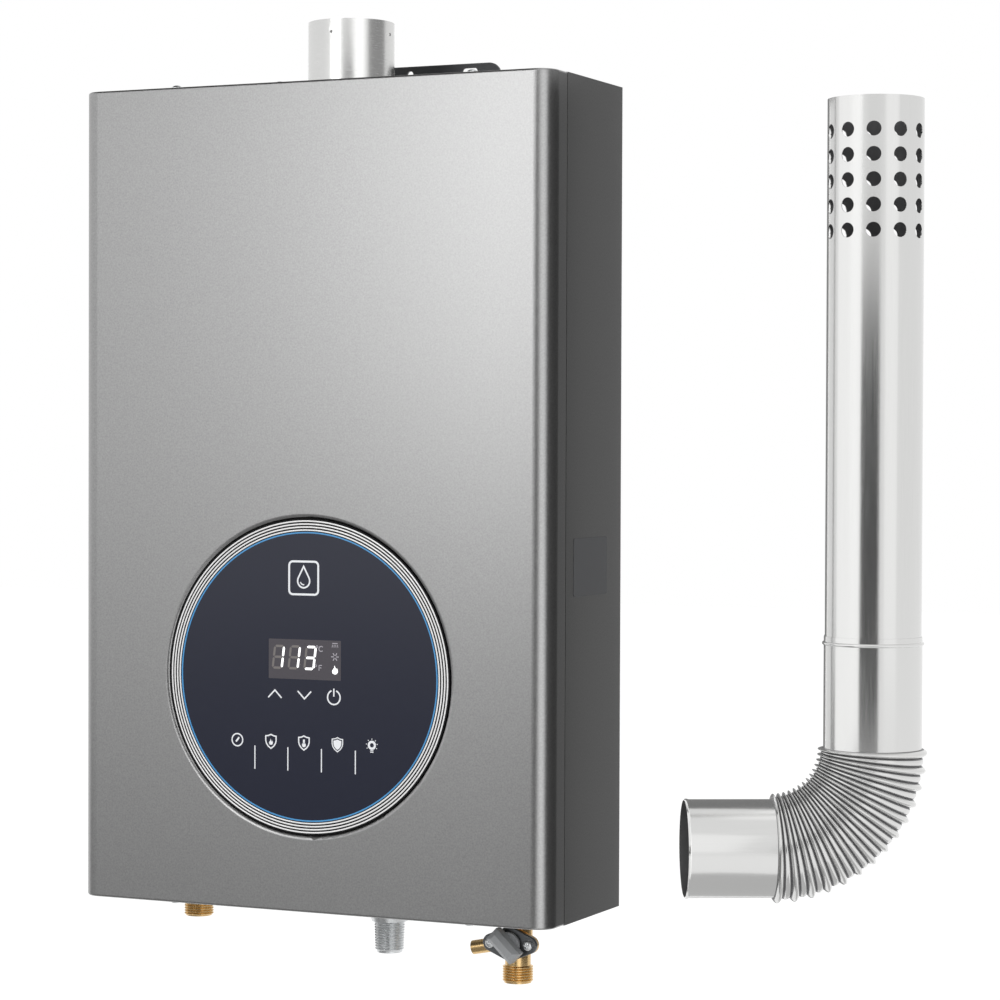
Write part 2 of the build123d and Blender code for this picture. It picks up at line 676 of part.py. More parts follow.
def make_bracket_rivets():
    rivets = []
    for x, z in upper_rivet_places() + lower_rivet_places():
        head_y = INNER_BACK_Y - RIVET_HEAD_HEIGHT
        rivet = rod_y(INNER_BACK_Y, 0, x, z, RIVET_RADIUS)
        rivets.append(rivet + rod_y(head_y, INNER_BACK_Y, x, z, RIVET_HEAD_RADIUS))
    return group(rivets)


def make_rating_plate():
    y = FRONT_Y + PLATE_BEHIND_FRONT
    z = BOTTOM_Z + PLATE_UP
    half_y = PLATE_WIDTH / 2
    half_z = PLATE_HEIGHT / 2
    return block(SIDE_X, SIDE_X + PLATE_THICKNESS, y - half_y, y + half_y, z - half_z, z + half_z)


# Flue collar
def flue_flange(z, height):
    outline = RectangleRounded(FLUE_FLANGE_WIDTH, FLUE_FLANGE_DEPTH, FLUE_FLANGE_CORNER)
    plate = Pos(0, FLUE_Y, z) * extrude(outline, height)
    plate -= rod_z(z, z + height, 0, FLUE_Y, FLUE_RADIUS - FLUE_WALL)
    for x, y in flue_screw_places():
        plate -= rod_z(z, z + height, x, y, SCREW_HOLE_RADIUS)
    return plate


def make_flue_gasket():
    return flue_flange(TOP_Z, FLUE_GASKET)


def make_flue_collar():
    base = TOP_Z + FLUE_GASKET
    top = TOP_Z + FLUE_RISE
    collar = flue_flange(base, FLUE_FLANGE_SHEET)
    collar += rod_z(base, top, 0, FLUE_Y, FLUE_RADIUS)
    collar -= rod_z(base, top, 0, FLUE_Y, FLUE_RADIUS - FLUE_WALL)
    hole_z = top - FLUE_PIN_HOLE_DROP
    for i in range(FLUE_PIN_HOLES):
        hole = rod_x(FLUE_RADIUS - 2 * FLUE_WALL, FLUE_RADIUS + FLUE_WALL, 0, hole_z, FLUE_PIN_HOLE_RADIUS)
        collar -= Pos(0, FLUE_Y, 0) * Rot(0, 0, 360.0 * i / FLUE_PIN_HOLES) * hole
    return collar


def make_flue_screws():
    seat = TOP_Z + FLUE_GASKET + FLUE_FLANGE_SHEET
    screw = pan_screw(SCREW_LENGTH, washer=False)
    return group(Pos(x, y, seat) * screw for x, y in flue_screw_places())


# Control panel
def make_panel_glass():
    return dial_place() * rod_z(GLASS_INSET, GLASS_BACK, 0, 0, GLASS_RADIUS)


def make_accent_ring():
    front = GLASS_INSET - ACCENT_PROUD
    outer = GLASS_RADIUS + ACCENT_WIDTH
    points = [(GLASS_RADIUS, front), (outer, front), (outer, GLASS_BACK), (GLASS_RADIUS, GLASS_BACK)]
    return dial_place() * turned(points)


def make_panel_bezel():
    inner = GLASS_RADIUS + ACCENT_WIDTH
    outer = DIAL_OPENING_RADIUS - DIAL_CLEARANCE
    pitch = (outer - inner) / BEZEL_RIDGES
    crest = GLASS_INSET - BEZEL_PROUD
    valley = crest + BEZEL_RIDGE_HEIGHT
    edges = []
    for i in range(BEZEL_RIDGES):
        start = inner + i * pitch
        middle = start + pitch / 2
        edges.append(ThreePointArc((start, 0, valley), (middle, 0, crest), (start + pitch, 0, valley)))
    edges.append(Line((outer, 0, valley), (outer, 0, GLASS_BACK)))
    edges.append(Line((outer, 0, GLASS_BACK), (inner, 0, GLASS_BACK)))
    edges.append(Line((inner, 0, GLASS_BACK), (inner, 0, valley)))
    return dial_place() * revolve(make_face(edges), Axis.Z)


def make_panel_housing():
    rim = DIAL_OPENING_RADIUS - DIAL_CLEARANCE
    wall = rim - HOUSING_STEP
    flange = DIAL_OPENING_RADIUS + HOUSING_FLANGE
    flange_back = DIAL_LIP_END + HOUSING_WALL
    back = DIAL_LIP_END + HOUSING_DEPTH
    ledge = rim - HOUSING_STEP - LEDGE_WIDTH
    points = [
        (ledge, GLASS_BACK),
        (rim, GLASS_BACK),
        (rim, DIAL_LIP_END),
        (flange, DIAL_LIP_END),
        (flange, flange_back),
        (wall, flange_back),
        (wall, back),
        (0, back),
        (0, back - HOUSING_WALL),
        (wall - HOUSING_WALL, back - HOUSING_WALL),
        (wall - HOUSING_WALL, DIAL_LIP_END),
        (ledge, DIAL_LIP_END),
    ]
    housing = turned(points)
    for angle in stud_angles():
        hole = rod_z(DIAL_LIP_END, flange_back, STUD_CIRCLE, 0, STUD_RADIUS + SCREW_CLEARANCE)
        housing -= Rot(0, 0, angle) * hole
    post_top = BOARD_FRONT + BOARD_THICKNESS
    half_x = BOARD_WIDTH / 2 - BOARD_POST_INSET
    half_y = BOARD_HEIGHT / 2 - BOARD_POST_INSET
    for x in (-half_x, half_x):
        for y in (-half_y, half_y):
            housing += rod_z(post_top, back - HOUSING_WALL / 2, x, y - BOARD_ABOVE_DIAL, BOARD_POST_RADIUS)
    return dial_place() * housing


def make_panel_nuts():
    nut = hexagon(NUT_FLATS, NUT_HEIGHT, STUD_RADIUS + SCREW_CLEARANCE / 2)
    seat = DIAL_LIP_END + HOUSING_WALL
    nut = Pos(STUD_CIRCLE, 0, seat) * nut
    return group(dial_place() * Rot(0, 0, angle) * nut for angle in stud_angles())


def make_display_module():
    front = FRONT_Y + GLASS_BACK
    middle = DIAL_Z + DISPLAY_ABOVE_DIAL
    half_x = DISPLAY_WIDTH / 2
    half_z = DISPLAY_HEIGHT / 2
    return block(-half_x, half_x, front, front + DISPLAY_THICKNESS, middle - half_z, middle + half_z)


def make_key_springs():
    front = FRONT_Y + GLASS_BACK
    back = FRONT_Y + BOARD_FRONT
    z = DIAL_Z - KEY_BELOW_DIAL
    springs = []
    for i in (-1, 0, 1):
        tube = rod_y(front, back, i * KEY_SPACING, z, KEY_SPRING_RADIUS)
        springs.append(tube - rod_y(front, back, i * KEY_SPACING, z, KEY_SPRING_RADIUS - KEY_SPRING_WALL))
    return group(springs)


def make_touch_board():
    front = FRONT_Y + BOARD_FRONT
    middle = DIAL_Z + BOARD_ABOVE_DIAL
    half_z = BOARD_HEIGHT / 2
    half_x = BOARD_WIDTH / 2
    return block(-half_x, half_x, front, front + BOARD_THICKNESS, middle - half_z, middle + half_z)


# Ports
def make_hot_outlet():
    top = FLOOR_Z + HOT_SPIGOT_HEIGHT
    fitting = Pos(HOT_X, PORT_Y, BOTTOM_Z) * thread(THREAD_RADIUS, HOT_THREAD_LENGTH)
    fitting += rod_z(BOTTOM_Z, FLOOR_Z, HOT_X, PORT_Y, THREAD_RADIUS - THREAD_DEPTH)
    fitting += ear_plate(HOT_X, PORT_Y, FLOOR_Z, PORT_TOP_Z, PORT_FLANGE_RADIUS)
    fitting += rod_z(PORT_TOP_Z, top, HOT_X, PORT_Y, SPIGOT_RADIUS)
    return fitting - rod_z(BOTTOM_Z - HOT_THREAD_LENGTH, top, HOT_X, PORT_Y, WATER_BORE_RADIUS)


def make_gas_inlet():
    low = BOTTOM_Z - GAS_CONE_LENGTH
    end = low - GAS_THREAD_LENGTH
    cone = turned([
        (0, 0), (GAS_CONE_TOP_RADIUS, 0), (GAS_CONE_LOW_RADIUS, -GAS_CONE_LENGTH), (0, -GAS_CONE_LENGTH),
    ])
    tail = thread(GAS_THREAD_TOP_RADIUS, GAS_THREAD_LENGTH, GAS_THREAD_TAPER)
    fitting = Pos(GAS_X, PORT_Y, BOTTOM_Z) * cone + Pos(GAS_X, PORT_Y, low) * tail
    fitting += rod_z(BOTTOM_Z, GAS_VALVE_Z, GAS_X, PORT_Y, GAS_SPIGOT_RADIUS)
    fitting += ear_plate(GAS_X, PORT_Y, FLOOR_Z, PORT_TOP_Z, PORT_FLANGE_RADIUS)
    return fitting - rod_z(end, GAS_VALVE_Z, GAS_X, PORT_Y, WATER_BORE_RADIUS)


def make_port_screws():
    screw = pan_screw(PORT_FLANGE_HEIGHT + SHEET, washer=False)
    return group(Pos(x, y, PORT_TOP_Z) * screw for x, y in port_screw_places())


def two_eared(height):
    """A plate with two screw ears that taper from a round middle, standing on height 0."""
    half = VALVE_SCREW_SPACING / 2
    circles = Circle(VALVE_FLANGE_RADIUS)
    for x in (-half, half):
        circles += Pos(x, 0) * Circle(VALVE_EAR_RADIUS)
    plate = extrude(make_hull(circles.edges()), height)
    for x in (-half, half):
        plate -= rod_z(0, height, x, 0, SCREW_HOLE_RADIUS)
    return plate


def spout_place():
    """The drain spout's axis: it starts on the valve's axis and falls to the left."""
    return Pos(COLD_X, PORT_Y, VALVE_Z) * Rot(0, -90 - SPOUT_FALL, 0)


def make_inlet_valve_body():
    low = BOTTOM_Z - INLET_BODY_LENGTH
    end = low - INLET_THREAD_LENGTH
    top = FLOOR_Z + INLET_SPIGOT_HEIGHT
    neck_top = VALVE_Z - (VALVE_BOSS_RADIUS + SPOUT_RADIUS) / 2
    body = rod_z(low, neck_top, COLD_X, PORT_Y, INLET_NECK_RADIUS)
    body += rod_z(neck_top, BOTTOM_Z, COLD_X, PORT_Y, INLET_BODY_RADIUS)
    body += rod_z(BOTTOM_Z - INLET_SHOULDER_HEIGHT, BOTTOM_Z, COLD_X, PORT_Y, INLET_SHOULDER_RADIUS)
    body += rod_y(VALVE_BOSS_Y, PORT_Y, COLD_X, VALVE_Z, VALVE_BOSS_RADIUS)
    ears = Rot(90, 0, 0) * two_eared(VALVE_EAR_DEPTH)
    body += Pos(COLD_X, VALVE_BOSS_Y + VALVE_EAR_DEPTH, VALVE_Z) * ears
    body += rod_z(BOTTOM_Z, top, COLD_X, PORT_Y, INLET_SPIGOT_RADIUS)
    body += Pos(COLD_X, PORT_Y, low) * thread(THREAD_RADIUS, INLET_THREAD_LENGTH)
    body -= rod_z(end, top, COLD_X, PORT_Y, WATER_BORE_RADIUS)
    body -= rod_y(VALVE_BOSS_Y, PORT_Y, COLD_X, VALVE_Z, STEM_RADIUS + STEM_CLEARANCE)
    body -= rod_y(VALVE_BOSS_Y, VALVE_BOSS_Y + PACKING_DEPTH, COLD_X, VALVE_Z, PACKING_RADIUS)
    body -= spout_place() * rod_z(0, SPOUT_REACH, 0, 0, SPOUT_BORE_RADIUS)
    return body


def make_drain_spout():
    spout = rod_z(0, SPOUT_REACH, 0, 0, SPOUT_RADIUS) - rod_z(0, SPOUT_REACH, 0, 0, SPOUT_BORE_RADIUS)
    spout = spout_place() * spout
    spout -= rod_y(VALVE_BOSS_Y, PORT_Y, COLD_X, VALVE_Z, VALVE_BOSS_RADIUS)
    spout -= rod_z(BOTTOM_Z - INLET_BODY_LENGTH, BOTTOM_Z, COLD_X, PORT_Y, INLET_BODY_RADIUS)
    return spout


def make_stem_packing():
    y0 = VALVE_BOSS_Y
    y1 = VALVE_BOSS_Y + PACKING_DEPTH
    ring = rod_y(y0, y1, COLD_X, VALVE_Z, PACKING_RADIUS)
    return ring - rod_y(y0, y1, COLD_X, VALVE_Z, STEM_RADIUS + STEM_CLEARANCE)


def make_valve_flange():
    plate = two_eared(VALVE_FLANGE_SHEET)
    front = plate.faces().sort_by(Axis.Z)[-1]
    plate = chamfer(front.outer_wire().edges(), VALVE_FLANGE_SHEET / 4)
    plate -= rod_z(0, VALVE_FLANGE_SHEET, 0, 0, STEM_RADIUS + STEM_CLEARANCE)
    return Pos(COLD_X, VALVE_BOSS_Y, VALVE_Z) * Rot(90, 0, 0) * plate


def make_flange_screws():
    half = VALVE_SCREW_SPACING / 2
    screw = Rot(90, 0, 0) * pan_screw(VALVE_FLANGE_SHEET + VALVE_EAR_DEPTH, washer=False)
    return group(Pos(COLD_X + x, VALVE_FLANGE_Y, VALVE_Z) * screw for x in (-half, half))


def make_valve_stem():
    return rod_y(KNOB_BAR_Y, PORT_Y - STEM_STOP, COLD_X, VALVE_Z, STEM_RADIUS)


def make_drain_knob():
    hub = rod_y(KNOB_BAR_Y, KNOB_BACK_Y, 0, 0, KNOB_HUB_RADIUS)
    half = KNOB_BAR_LENGTH / 2
    width = KNOB_BAR_WIDTH / 2
    bar = block(-half, half, KNOB_BAR_Y - KNOB_BAR_DEPTH, KNOB_BAR_Y, -width, width)
    front = bar.faces().sort_by(Axis.Y)[0]
    bar = chamfer(front.edges(), KNOB_BAR_BEVEL)
    knob = Rot(0, KNOB_TURN, 0) * (hub + bar)
    knob -= rod_y(KNOB_BAR_Y, KNOB_BACK_Y, 0, 0, STEM_RADIUS)
    return Pos(COLD_X, 0, VALVE_Z) * knob


def make_power_gland():
    bottom = BOTTOM_Z - GLAND_DROP
    top = FLOOR_Z + GLAND_RISE
    y = -GLAND_FROM_WALL
    gland = rod_z(bottom, top, GLAND_X, y, GLAND_RADIUS)
    gland += rod_z(BOTTOM_Z - GLAND_FLANGE_HEIGHT, BOTTOM_Z, GLAND_X, y, GLAND_FLANGE_RADIUS)
    return gland - rod_z(bottom, top, GLAND_X, y, GLAND_BORE_RADIUS)


def make_gland_nut():
    nut = hexagon(GLAND_NUT_FLATS, GLAND_NUT_HEIGHT, GLAND_RADIUS + SCREW_CLEARANCE / 2)
    return Pos(GLAND_X, -GLAND_FROM_WALL, FLOOR_Z) * nut


# Blower
def make_blower_housing():
    y0 = BLOWER_FRONT_Y
    y1 = DUCT_FRONT_Y
    half = OUTLET_WIDTH / 2
    housing = rod_y(y0, y1, BLOWER_X, BLOWER_Z, SCROLL_RADIUS)
    housing += block(-half, half, y0, y1, BLOWER_Z, CEILING_Z)
    inner_y0 = y0 + SCROLL_SHEET
    inner_y1 = y1 - SCROLL_SHEET
    inner_half = half - SCROLL_SHEET
    hollow = rod_y(inner_y0, inner_y1, BLOWER_X, BLOWER_Z, SCROLL_RADIUS - SCROLL_SHEET)
    hollow += block(-inner_half, inner_half, inner_y0, inner_y1, BLOWER_Z, CEILING_Z)
    housing -= hollow
    housing -= rod_y(inner_y1, y1, BLOWER_X, BLOWER_Z, EYE_RADIUS)
    housing -= rod_y(y0, inner_y0, BLOWER_X, BLOWER_Z, WHEEL_HUB_RADIUS)
    return housing


def make_blower_motor():
    front = BLOWER_FRONT_Y - MOTOR_LENGTH
    can = rod_y(front, BLOWER_FRONT_Y, BLOWER_X, BLOWER_Z, MOTOR_RADIUS)
    can = fillet(can.edges().group_by(Axis.Y)[0], MOTOR_END)
    flange_y = BLOWER_FRONT_Y - MOTOR_FLANGE_SHEET
    can += rod_y(flange_y, BLOWER_FRONT_Y, BLOWER_X, BLOWER_Z, MOTOR_FLANGE_RADIUS)
    bore = rod_y(front + MOTOR_END, BLOWER_FRONT_Y, BLOWER_X, BLOWER_Z, SHAFT_RADIUS + SHAFT_CLEARANCE)
    return can - bore


def wheel_span():
    return BLOWER_FRONT_Y + SCROLL_SHEET + WHEEL_GAP, DUCT_FRONT_Y - SCROLL_SHEET - WHEEL_GAP


def make_motor_shaft():
    front = BLOWER_FRONT_Y - MOTOR_LENGTH + SHAFT_END
    back = wheel_span()[0] + WHEEL_HUB_LENGTH
    return rod_y(front, back, BLOWER_X, BLOWER_Z, SHAFT_RADIUS)


def make_blower_wheel():
    y0, y1 = wheel_span()
    wheel = rod_y(y0, y0 + WHEEL_SHEET, 0, 0, WHEEL_RADIUS)
    wheel += rod_y(y0, y0 + WHEEL_HUB_LENGTH, 0, 0, WHEEL_HUB_RADIUS)
    rim = rod_y(y1 - WHEEL_SHEET, y1, 0, 0, WHEEL_RADIUS)
    wheel += rim - rod_y(y1 - WHEEL_SHEET, y1, 0, 0, WHEEL_RADIUS - WHEEL_RIM_WIDTH)
    middle = WHEEL_RADIUS - WHEEL_RIM_WIDTH / 2
    blade = Rot(0, BLADE_ANGLE, 0) * Pos(0, (y0 + y1) / 2, 0) * Box(BLADE_DEPTH, y1 - y0, BLADE_SHEET)
    blade = Pos(middle, 0, 0) * blade
    inside = rod_y(y0, y1, 0, 0, WHEEL_RADIUS)
    blades = [(Rot(0, 360.0 * i / BLADES, 0) * blade) & inside for i in range(BLADES)]
    wheel = wheel.fuse(*blades)
    wheel -= rod_y(y0, y0 + WHEEL_HUB_LENGTH, 0, 0, SHAFT_RADIUS + WHEEL_FIT)
    return Pos(BLOWER_X, 0, BLOWER_Z) * wheel


def make_exhaust_hood():
    half = DUCT_WIDTH / 2
    duct_top = BLOWER_Z + half
    duct_left = BLOWER_X - half
    duct_right = BLOWER_X + half
    hood = block(CHAMBER_LEFT, CHAMBER_RIGHT, CHAMBER_FRONT_Y, INNER_BACK_Y, CHAMBER_TOP_Z, HOOD_TOP_Z)
    hood += block(duct_left, duct_right, DUCT_FRONT_Y, INNER_BACK_Y, HOOD_TOP_Z, duct_top)
    wall = SCROLL_SHEET
    hood -= block(
        CHAMBER_LEFT + wall, CHAMBER_RIGHT - wall, CHAMBER_FRONT_Y + wall, INNER_BACK_Y - wall,
        CHAMBER_TOP_Z, HOOD_TOP_Z - wall,
    )
    hood -= block(
        duct_left + wall, duct_right - wall, DUCT_FRONT_Y + wall, INNER_BACK_Y - wall,
        CHAMBER_TOP_Z, duct_top - wall,
    )
    return hood - rod_y(DUCT_FRONT_Y, DUCT_FRONT_Y + wall, BLOWER_X, BLOWER_Z, EYE_RADIUS)


# Heat exchanger and burner
def electrode_xs():
    return [CHAMBER_X + ELECTRODE_SPACING * (i - (ELECTRODES - 1) / 2) for i in range(ELECTRODES)]


def make_combustion_chamber():
    wall = CHAMBER_SHEET
    chamber = block(CHAMBER_LEFT, CHAMBER_RIGHT, CHAMBER_FRONT_Y, INNER_BACK_Y, BURNER_TOP_Z, CHAMBER_TOP_Z)
    chamber -= block(
        CHAMBER_LEFT + wall, CHAMBER_RIGHT - wall, CHAMBER_FRONT_Y + wall, INNER_BACK_Y - wall,
        BURNER_TOP_Z, CHAMBER_TOP_Z,
    )
    for y in TUBE_YS:
        chamber -= rod_x(CHAMBER_LEFT, CHAMBER_RIGHT, y, TUBE_Z, TUBE_RADIUS + TUBE_CLEARANCE)
    for x in electrode_xs():
        hole_radius = ELECTRODE_RADIUS + ELECTRODE_CLEARANCE
        z = BURNER_TOP_Z + ELECTRODE_RISE
        chamber -= rod_y(CHAMBER_FRONT_Y, CHAMBER_FRONT_Y + wall, x, z, hole_radius)
    return chamber


def make_heat_exchanger():
    inset = CHAMBER_SHEET + FIN_CLEARANCE
    first = CHAMBER_LEFT + inset
    step = (CHAMBER_WIDTH - 2 * inset - FIN_SHEET) / (FINS - 1)
    half = FIN_HEIGHT / 2
    fins = []
    for i in range(FINS):
        x = first + i * step
        front = CHAMBER_FRONT_Y + inset
        fins.append(block(x, x + FIN_SHEET, front, INNER_BACK_Y - inset, TUBE_Z - half, TUBE_Z + half))
    tubes = [rod_x(TUBE_LEFT, TUBE_RIGHT, y, TUBE_Z, TUBE_RADIUS) for y in TUBE_YS]
    exchanger = tubes[0].fuse(*tubes[1:], *fins)
    for y in TUBE_YS:
        exchanger -= rod_x(TUBE_LEFT, TUBE_RIGHT, y, TUBE_Z, TUBE_RADIUS - TUBE_WALL)
    return exchanger


def make_return_bends():
    """U-bends that join neighbouring tubes, alternately on the left and the right."""
    bends = []
    for i in range(TUBE_COUNT - 1):
        y = (TUBE_YS[i] + TUBE_YS[i + 1]) / 2
        ring = Pos(TUBE_PITCH / 2, 0, 0) * (Circle(TUBE_RADIUS) - Circle(TUBE_RADIUS - TUBE_WALL))
        bend = revolve(Plane.XZ * ring, Axis.Z, 180)
        turn, x = (-90, TUBE_RIGHT) if i % 2 == 0 else (90, TUBE_LEFT)
        bends.append(Pos(x, y, TUBE_Z) * Rot(0, 0, turn) * bend)
    return group(bends)


def make_burner_box():
    wall = BURNER_SHEET
    tray = block(CHAMBER_LEFT, CHAMBER_RIGHT, CHAMBER_FRONT_Y, INNER_BACK_Y, BURNER_Z, BURNER_TOP_Z)
    tray -= block(
        CHAMBER_LEFT + wall, CHAMBER_RIGHT - wall, CHAMBER_FRONT_Y + wall, INNER_BACK_Y - wall,
        BURNER_Z + wall, BURNER_TOP_Z,
    )
    z = MANIFOLD_Z + MANIFOLD_HEIGHT / 2
    for x in TRAY_XS:
        tray -= rod_y(CHAMBER_FRONT_Y, CHAMBER_FRONT_Y + wall, x, z, NOZZLE_RADIUS + NOZZLE_CLEARANCE)
    return tray


def make_burner_trays():
    front = CHAMBER_FRONT_Y + NOZZLE_REACH + TRAY_BEHIND_NOZZLE
    back = INNER_BACK_Y - TRAY_FROM_BACK
    base = BURNER_Z + BURNER_SHEET
    top = base + TRAY_HEIGHT
    half = TRAY_WIDTH / 2
    step = (back - front) / TRAY_SLOTS
    trays = []
    for x in TRAY_XS:
        tray = block(x - half, x + half, front, back, base, top)
        slots = []
        for i in range(TRAY_SLOTS):
            y = front + (i + 0.5) * step
            thin = TRAY_SLOT_WIDTH / 2
            slots.append(block(x - half, x + half, y - thin, y + thin, top - TRAY_SLOT_DEPTH, top))
        trays.append(tray.cut(*slots))
    return group(trays)


def make_gas_manifold():
    back = CHAMBER_FRONT_Y
    front = back - MANIFOLD_DEPTH
    half = MANIFOLD_LENGTH / 2
    leg = MANIFOLD_LEG_WIDTH / 2
    top = MANIFOLD_Z + MANIFOLD_HEIGHT
    manifold = block(CHAMBER_X - half, CHAMBER_X + half, front, back, MANIFOLD_Z, top)
    leg_z = GAS_VALVE_TOP_Z - MANIFOLD_LEG_OVERLAP
    manifold += block(GAS_X - leg, GAS_X + leg, front, back, leg_z, MANIFOLD_Z)
    nozzles = [rod_y(back, back + NOZZLE_REACH, x, (MANIFOLD_Z + top) / 2, NOZZLE_RADIUS) for x in TRAY_XS]
    return manifold.fuse(*nozzles)


def make_gas_valve():
    left = GAS_X - GAS_VALVE_WIDTH / 2
    right = GAS_X + GAS_VALVE_WIDTH / 2
    back = CHAMBER_FRONT_Y + GAS_VALVE_DEPTH
    valve = block(left, right, CHAMBER_FRONT_Y, back, GAS_VALVE_Z, GAS_VALVE_TOP_Z)
    valve = chamfer(valve.edges().filter_by(Axis.Z).group_by(Axis.Y)[-1], PLUNGER_SEAT)
    seat = left + PLUNGER_SEAT
    return valve - rod_x(left, seat, COIL_Y, COIL_Z, PLUNGER_RADIUS + PLUNGER_CLEARANCE)


def make_gas_valve_coil():
    far = COIL_X - COIL_LENGTH
    coil = rod_x(far, COIL_X, COIL_Y, COIL_Z, COIL_RADIUS)
    bore_end = COIL_X + PLUNGER_SEAT - PLUNGER_LENGTH - PLUNGER_STROKE - PLUNGER_END
    return coil - rod_x(bore_end, COIL_X, COIL_Y, COIL_Z, PLUNGER_RADIUS + PLUNGER_CLEARANCE)


def make_gas_plunger():
    tip = COIL_X + PLUNGER_SEAT
    return rod_x(tip - PLUNGER_LENGTH, tip, COIL_Y, COIL_Z, PLUNGER_RADIUS)


def make_ignition_electrodes():
    z = BURNER_TOP_Z + ELECTRODE_RISE
    inner = CHAMBER_FRONT_Y + ELECTRODE_IN
    electrodes = []
    for x in electrode_xs():
        electrode = rod_y(CHAMBER_FRONT_Y - ELECTRODE_OUT, inner, x, z, ELECTRODE_RADIUS)
        electrodes.append(electrode + rod_y(inner, inner + ELECTRODE_TIP, x, z, ELECTRODE_TIP_RADIUS))
    return group(electrodes)


def make_thermal_cutout():
    y = (CHAMBER_FRONT_Y + INNER_BACK_Y) / 2
    return rod_x(CHAMBER_LEFT - CUTOUT_HEIGHT, CHAMBER_LEFT, y, TUBE_Z - CUTOUT_BELOW_TUBES, CUTOUT_RADIUS)


# Water path and electrics
def make_flow_sensor():
    body = rod_z(FLOOR_Z, SENSOR_TOP_Z, COLD_X, PORT_Y, SENSOR_RADIUS)
    body += ear_plate(COLD_X, PORT_Y, FLOOR_Z, PORT_TOP_Z, SENSOR_RADIUS)
    socket_top = FLOOR_Z + INLET_SPIGOT_HEIGHT
    body -= rod_z(FLOOR_Z, socket_top, COLD_X, PORT_Y, INLET_SPIGOT_RADIUS + PORT_CLEARANCE)
    shoulder = SENSOR_TOP_Z - PORT_FLANGE_HEIGHT
    body -= rod_z(socket_top, shoulder, COLD_X, PORT_Y, SENSOR_BORE_RADIUS)
    body -= rod_z(shoulder, SENSOR_TOP_Z, COLD_X, PORT_Y, WATER_BORE_RADIUS)
    for z in (SPIDER_Z, SPIDER_Z + SPIDER_SPACING):
        body += rod_z(z, z + SPIDER_HEIGHT, COLD_X, PORT_Y, SPIDER_HUB_RADIUS)
        half = SPIDER_ARM_WIDTH / 2
        arm = block(0, SENSOR_BORE_RADIUS + AXLE_RADIUS, -half, half, z, z + SPIDER_HEIGHT)
        for i in range(SPIDER_ARMS):
            body += Pos(COLD_X, PORT_Y, 0) * Rot(0, 0, 360.0 * i / SPIDER_ARMS) * arm
    return body + rod_z(SPIDER_Z, SPIDER_Z + SPIDER_SPACING, COLD_X, PORT_Y, AXLE_RADIUS)


def make_flow_turbine():
    z0 = SPIDER_Z + SPIDER_HEIGHT + TURBINE_END_GAP
    z1 = SPIDER_Z + SPIDER_SPACING - TURBINE_END_GAP
    hub = rod_z(z0, z1, 0, 0, TURBINE_HUB_RADIUS)
    height = (z1 - z0) * math.cos(math.radians(TURBINE_BLADE_TILT))
    blade = Box(TURBINE_RADIUS, TURBINE_BLADE_SHEET, height)
    blade = Pos(TURBINE_RADIUS / 2, 0, (z0 + z1) / 2) * Rot(TURBINE_BLADE_TILT, 0, 0) * blade
    inside = rod_z(z0, z1, 0, 0, TURBINE_RADIUS)
    blades = [(Rot(0, 0, 360.0 * i / TURBINE_BLADES) * blade) & inside for i in range(TURBINE_BLADES)]
    turbine = hub.fuse(*blades) - rod_z(z0, z1, 0, 0, AXLE_RADIUS + AXLE_CLEARANCE)
    return Pos(COLD_X, PORT_Y, 0) * turbine


def make_cold_pipe():
    inlet_y = TUBE_YS[-1]
    return water_pipe([
        (COLD_X, PORT_Y, SENSOR_TOP_Z),
        (COLD_X, PORT_Y, TUBE_Z),
        (COLD_X, inlet_y, TUBE_Z),
        (TUBE_RIGHT, inlet_y, TUBE_Z),
    ])


def make_hot_pipe():
    return water_pipe([
        (HOT_X, PORT_Y, FLOOR_Z + HOT_SPIGOT_HEIGHT),
        (HOT_X, PORT_Y, TUBE_Z),
        (TUBE_LEFT, PORT_Y, TUBE_Z),
    ])


def control_box_span():
    right = INNER_SIDE_X - CONTROL_FROM_SIDE
    top = TUBE_Z - CONTROL_BELOW_TUBES
    return right - CONTROL_WIDTH, right, INNER_BACK_Y - CONTROL_DEPTH, top - CONTROL_HEIGHT, top


def make_control_box():
    left, right, front, low, top = control_box_span()
    wall = CONTROL_WALL
    box = block(left, right, front, INNER_BACK_Y, low, top)
    box -= block(left + wall, right - wall, front, INNER_BACK_Y - wall, low + wall, top - wall)
    seat = INNER_BACK_Y - wall - CONTROL_BOARD_UP
    for x in (left + 2 * wall, right - 2 * wall):
        box += block(x - wall, x + wall, seat, INNER_BACK_Y - wall, low + wall, top - wall)
    return box


def make_control_board():
    left, right, front, low, top = control_box_span()
    gap = CONTROL_WALL + PORT_CLEARANCE
    back = INNER_BACK_Y - CONTROL_WALL - CONTROL_BOARD_UP
    return block(left + gap, right - gap, back - BOARD_THICKNESS, back, low + gap, top - gap)


def make_control_lid():
    left, right, front, low, top = control_box_span()
    lid = block(left, right, front - CONTROL_WALL, front, low, top)
    return fillet(lid.faces().sort_by(Axis.Y)[0].edges(), CONTROL_WALL / 2)


def make_ignition_module():
    left = -INNER_SIDE_X + IGNITER_FROM_SIDE
    low = BOTTOM_Z + IGNITER_UP
    front = INNER_BACK_Y - IGNITER_DEPTH
    box = block(left, left + IGNITER_WIDTH, front, INNER_BACK_Y, low, low + IGNITER_HEIGHT)
    return fillet(box.edges().filter_by(Axis.Y), IGNITER_EDGE_RADIUS)


# Separate flue pipe
def make_flue_socket():
    mouth = -ELBOW_RADIUS - SOCKET_LENGTH
    cuff = rod_x(mouth, -ELBOW_RADIUS, 0, -ELBOW_RADIUS, CUFF_RADIUS)
    cuff -= rod_x(mouth, -ELBOW_RADIUS, 0, -ELBOW_RADIUS, CUFF_INNER_RADIUS)
    return PIPE_PLACE * cuff


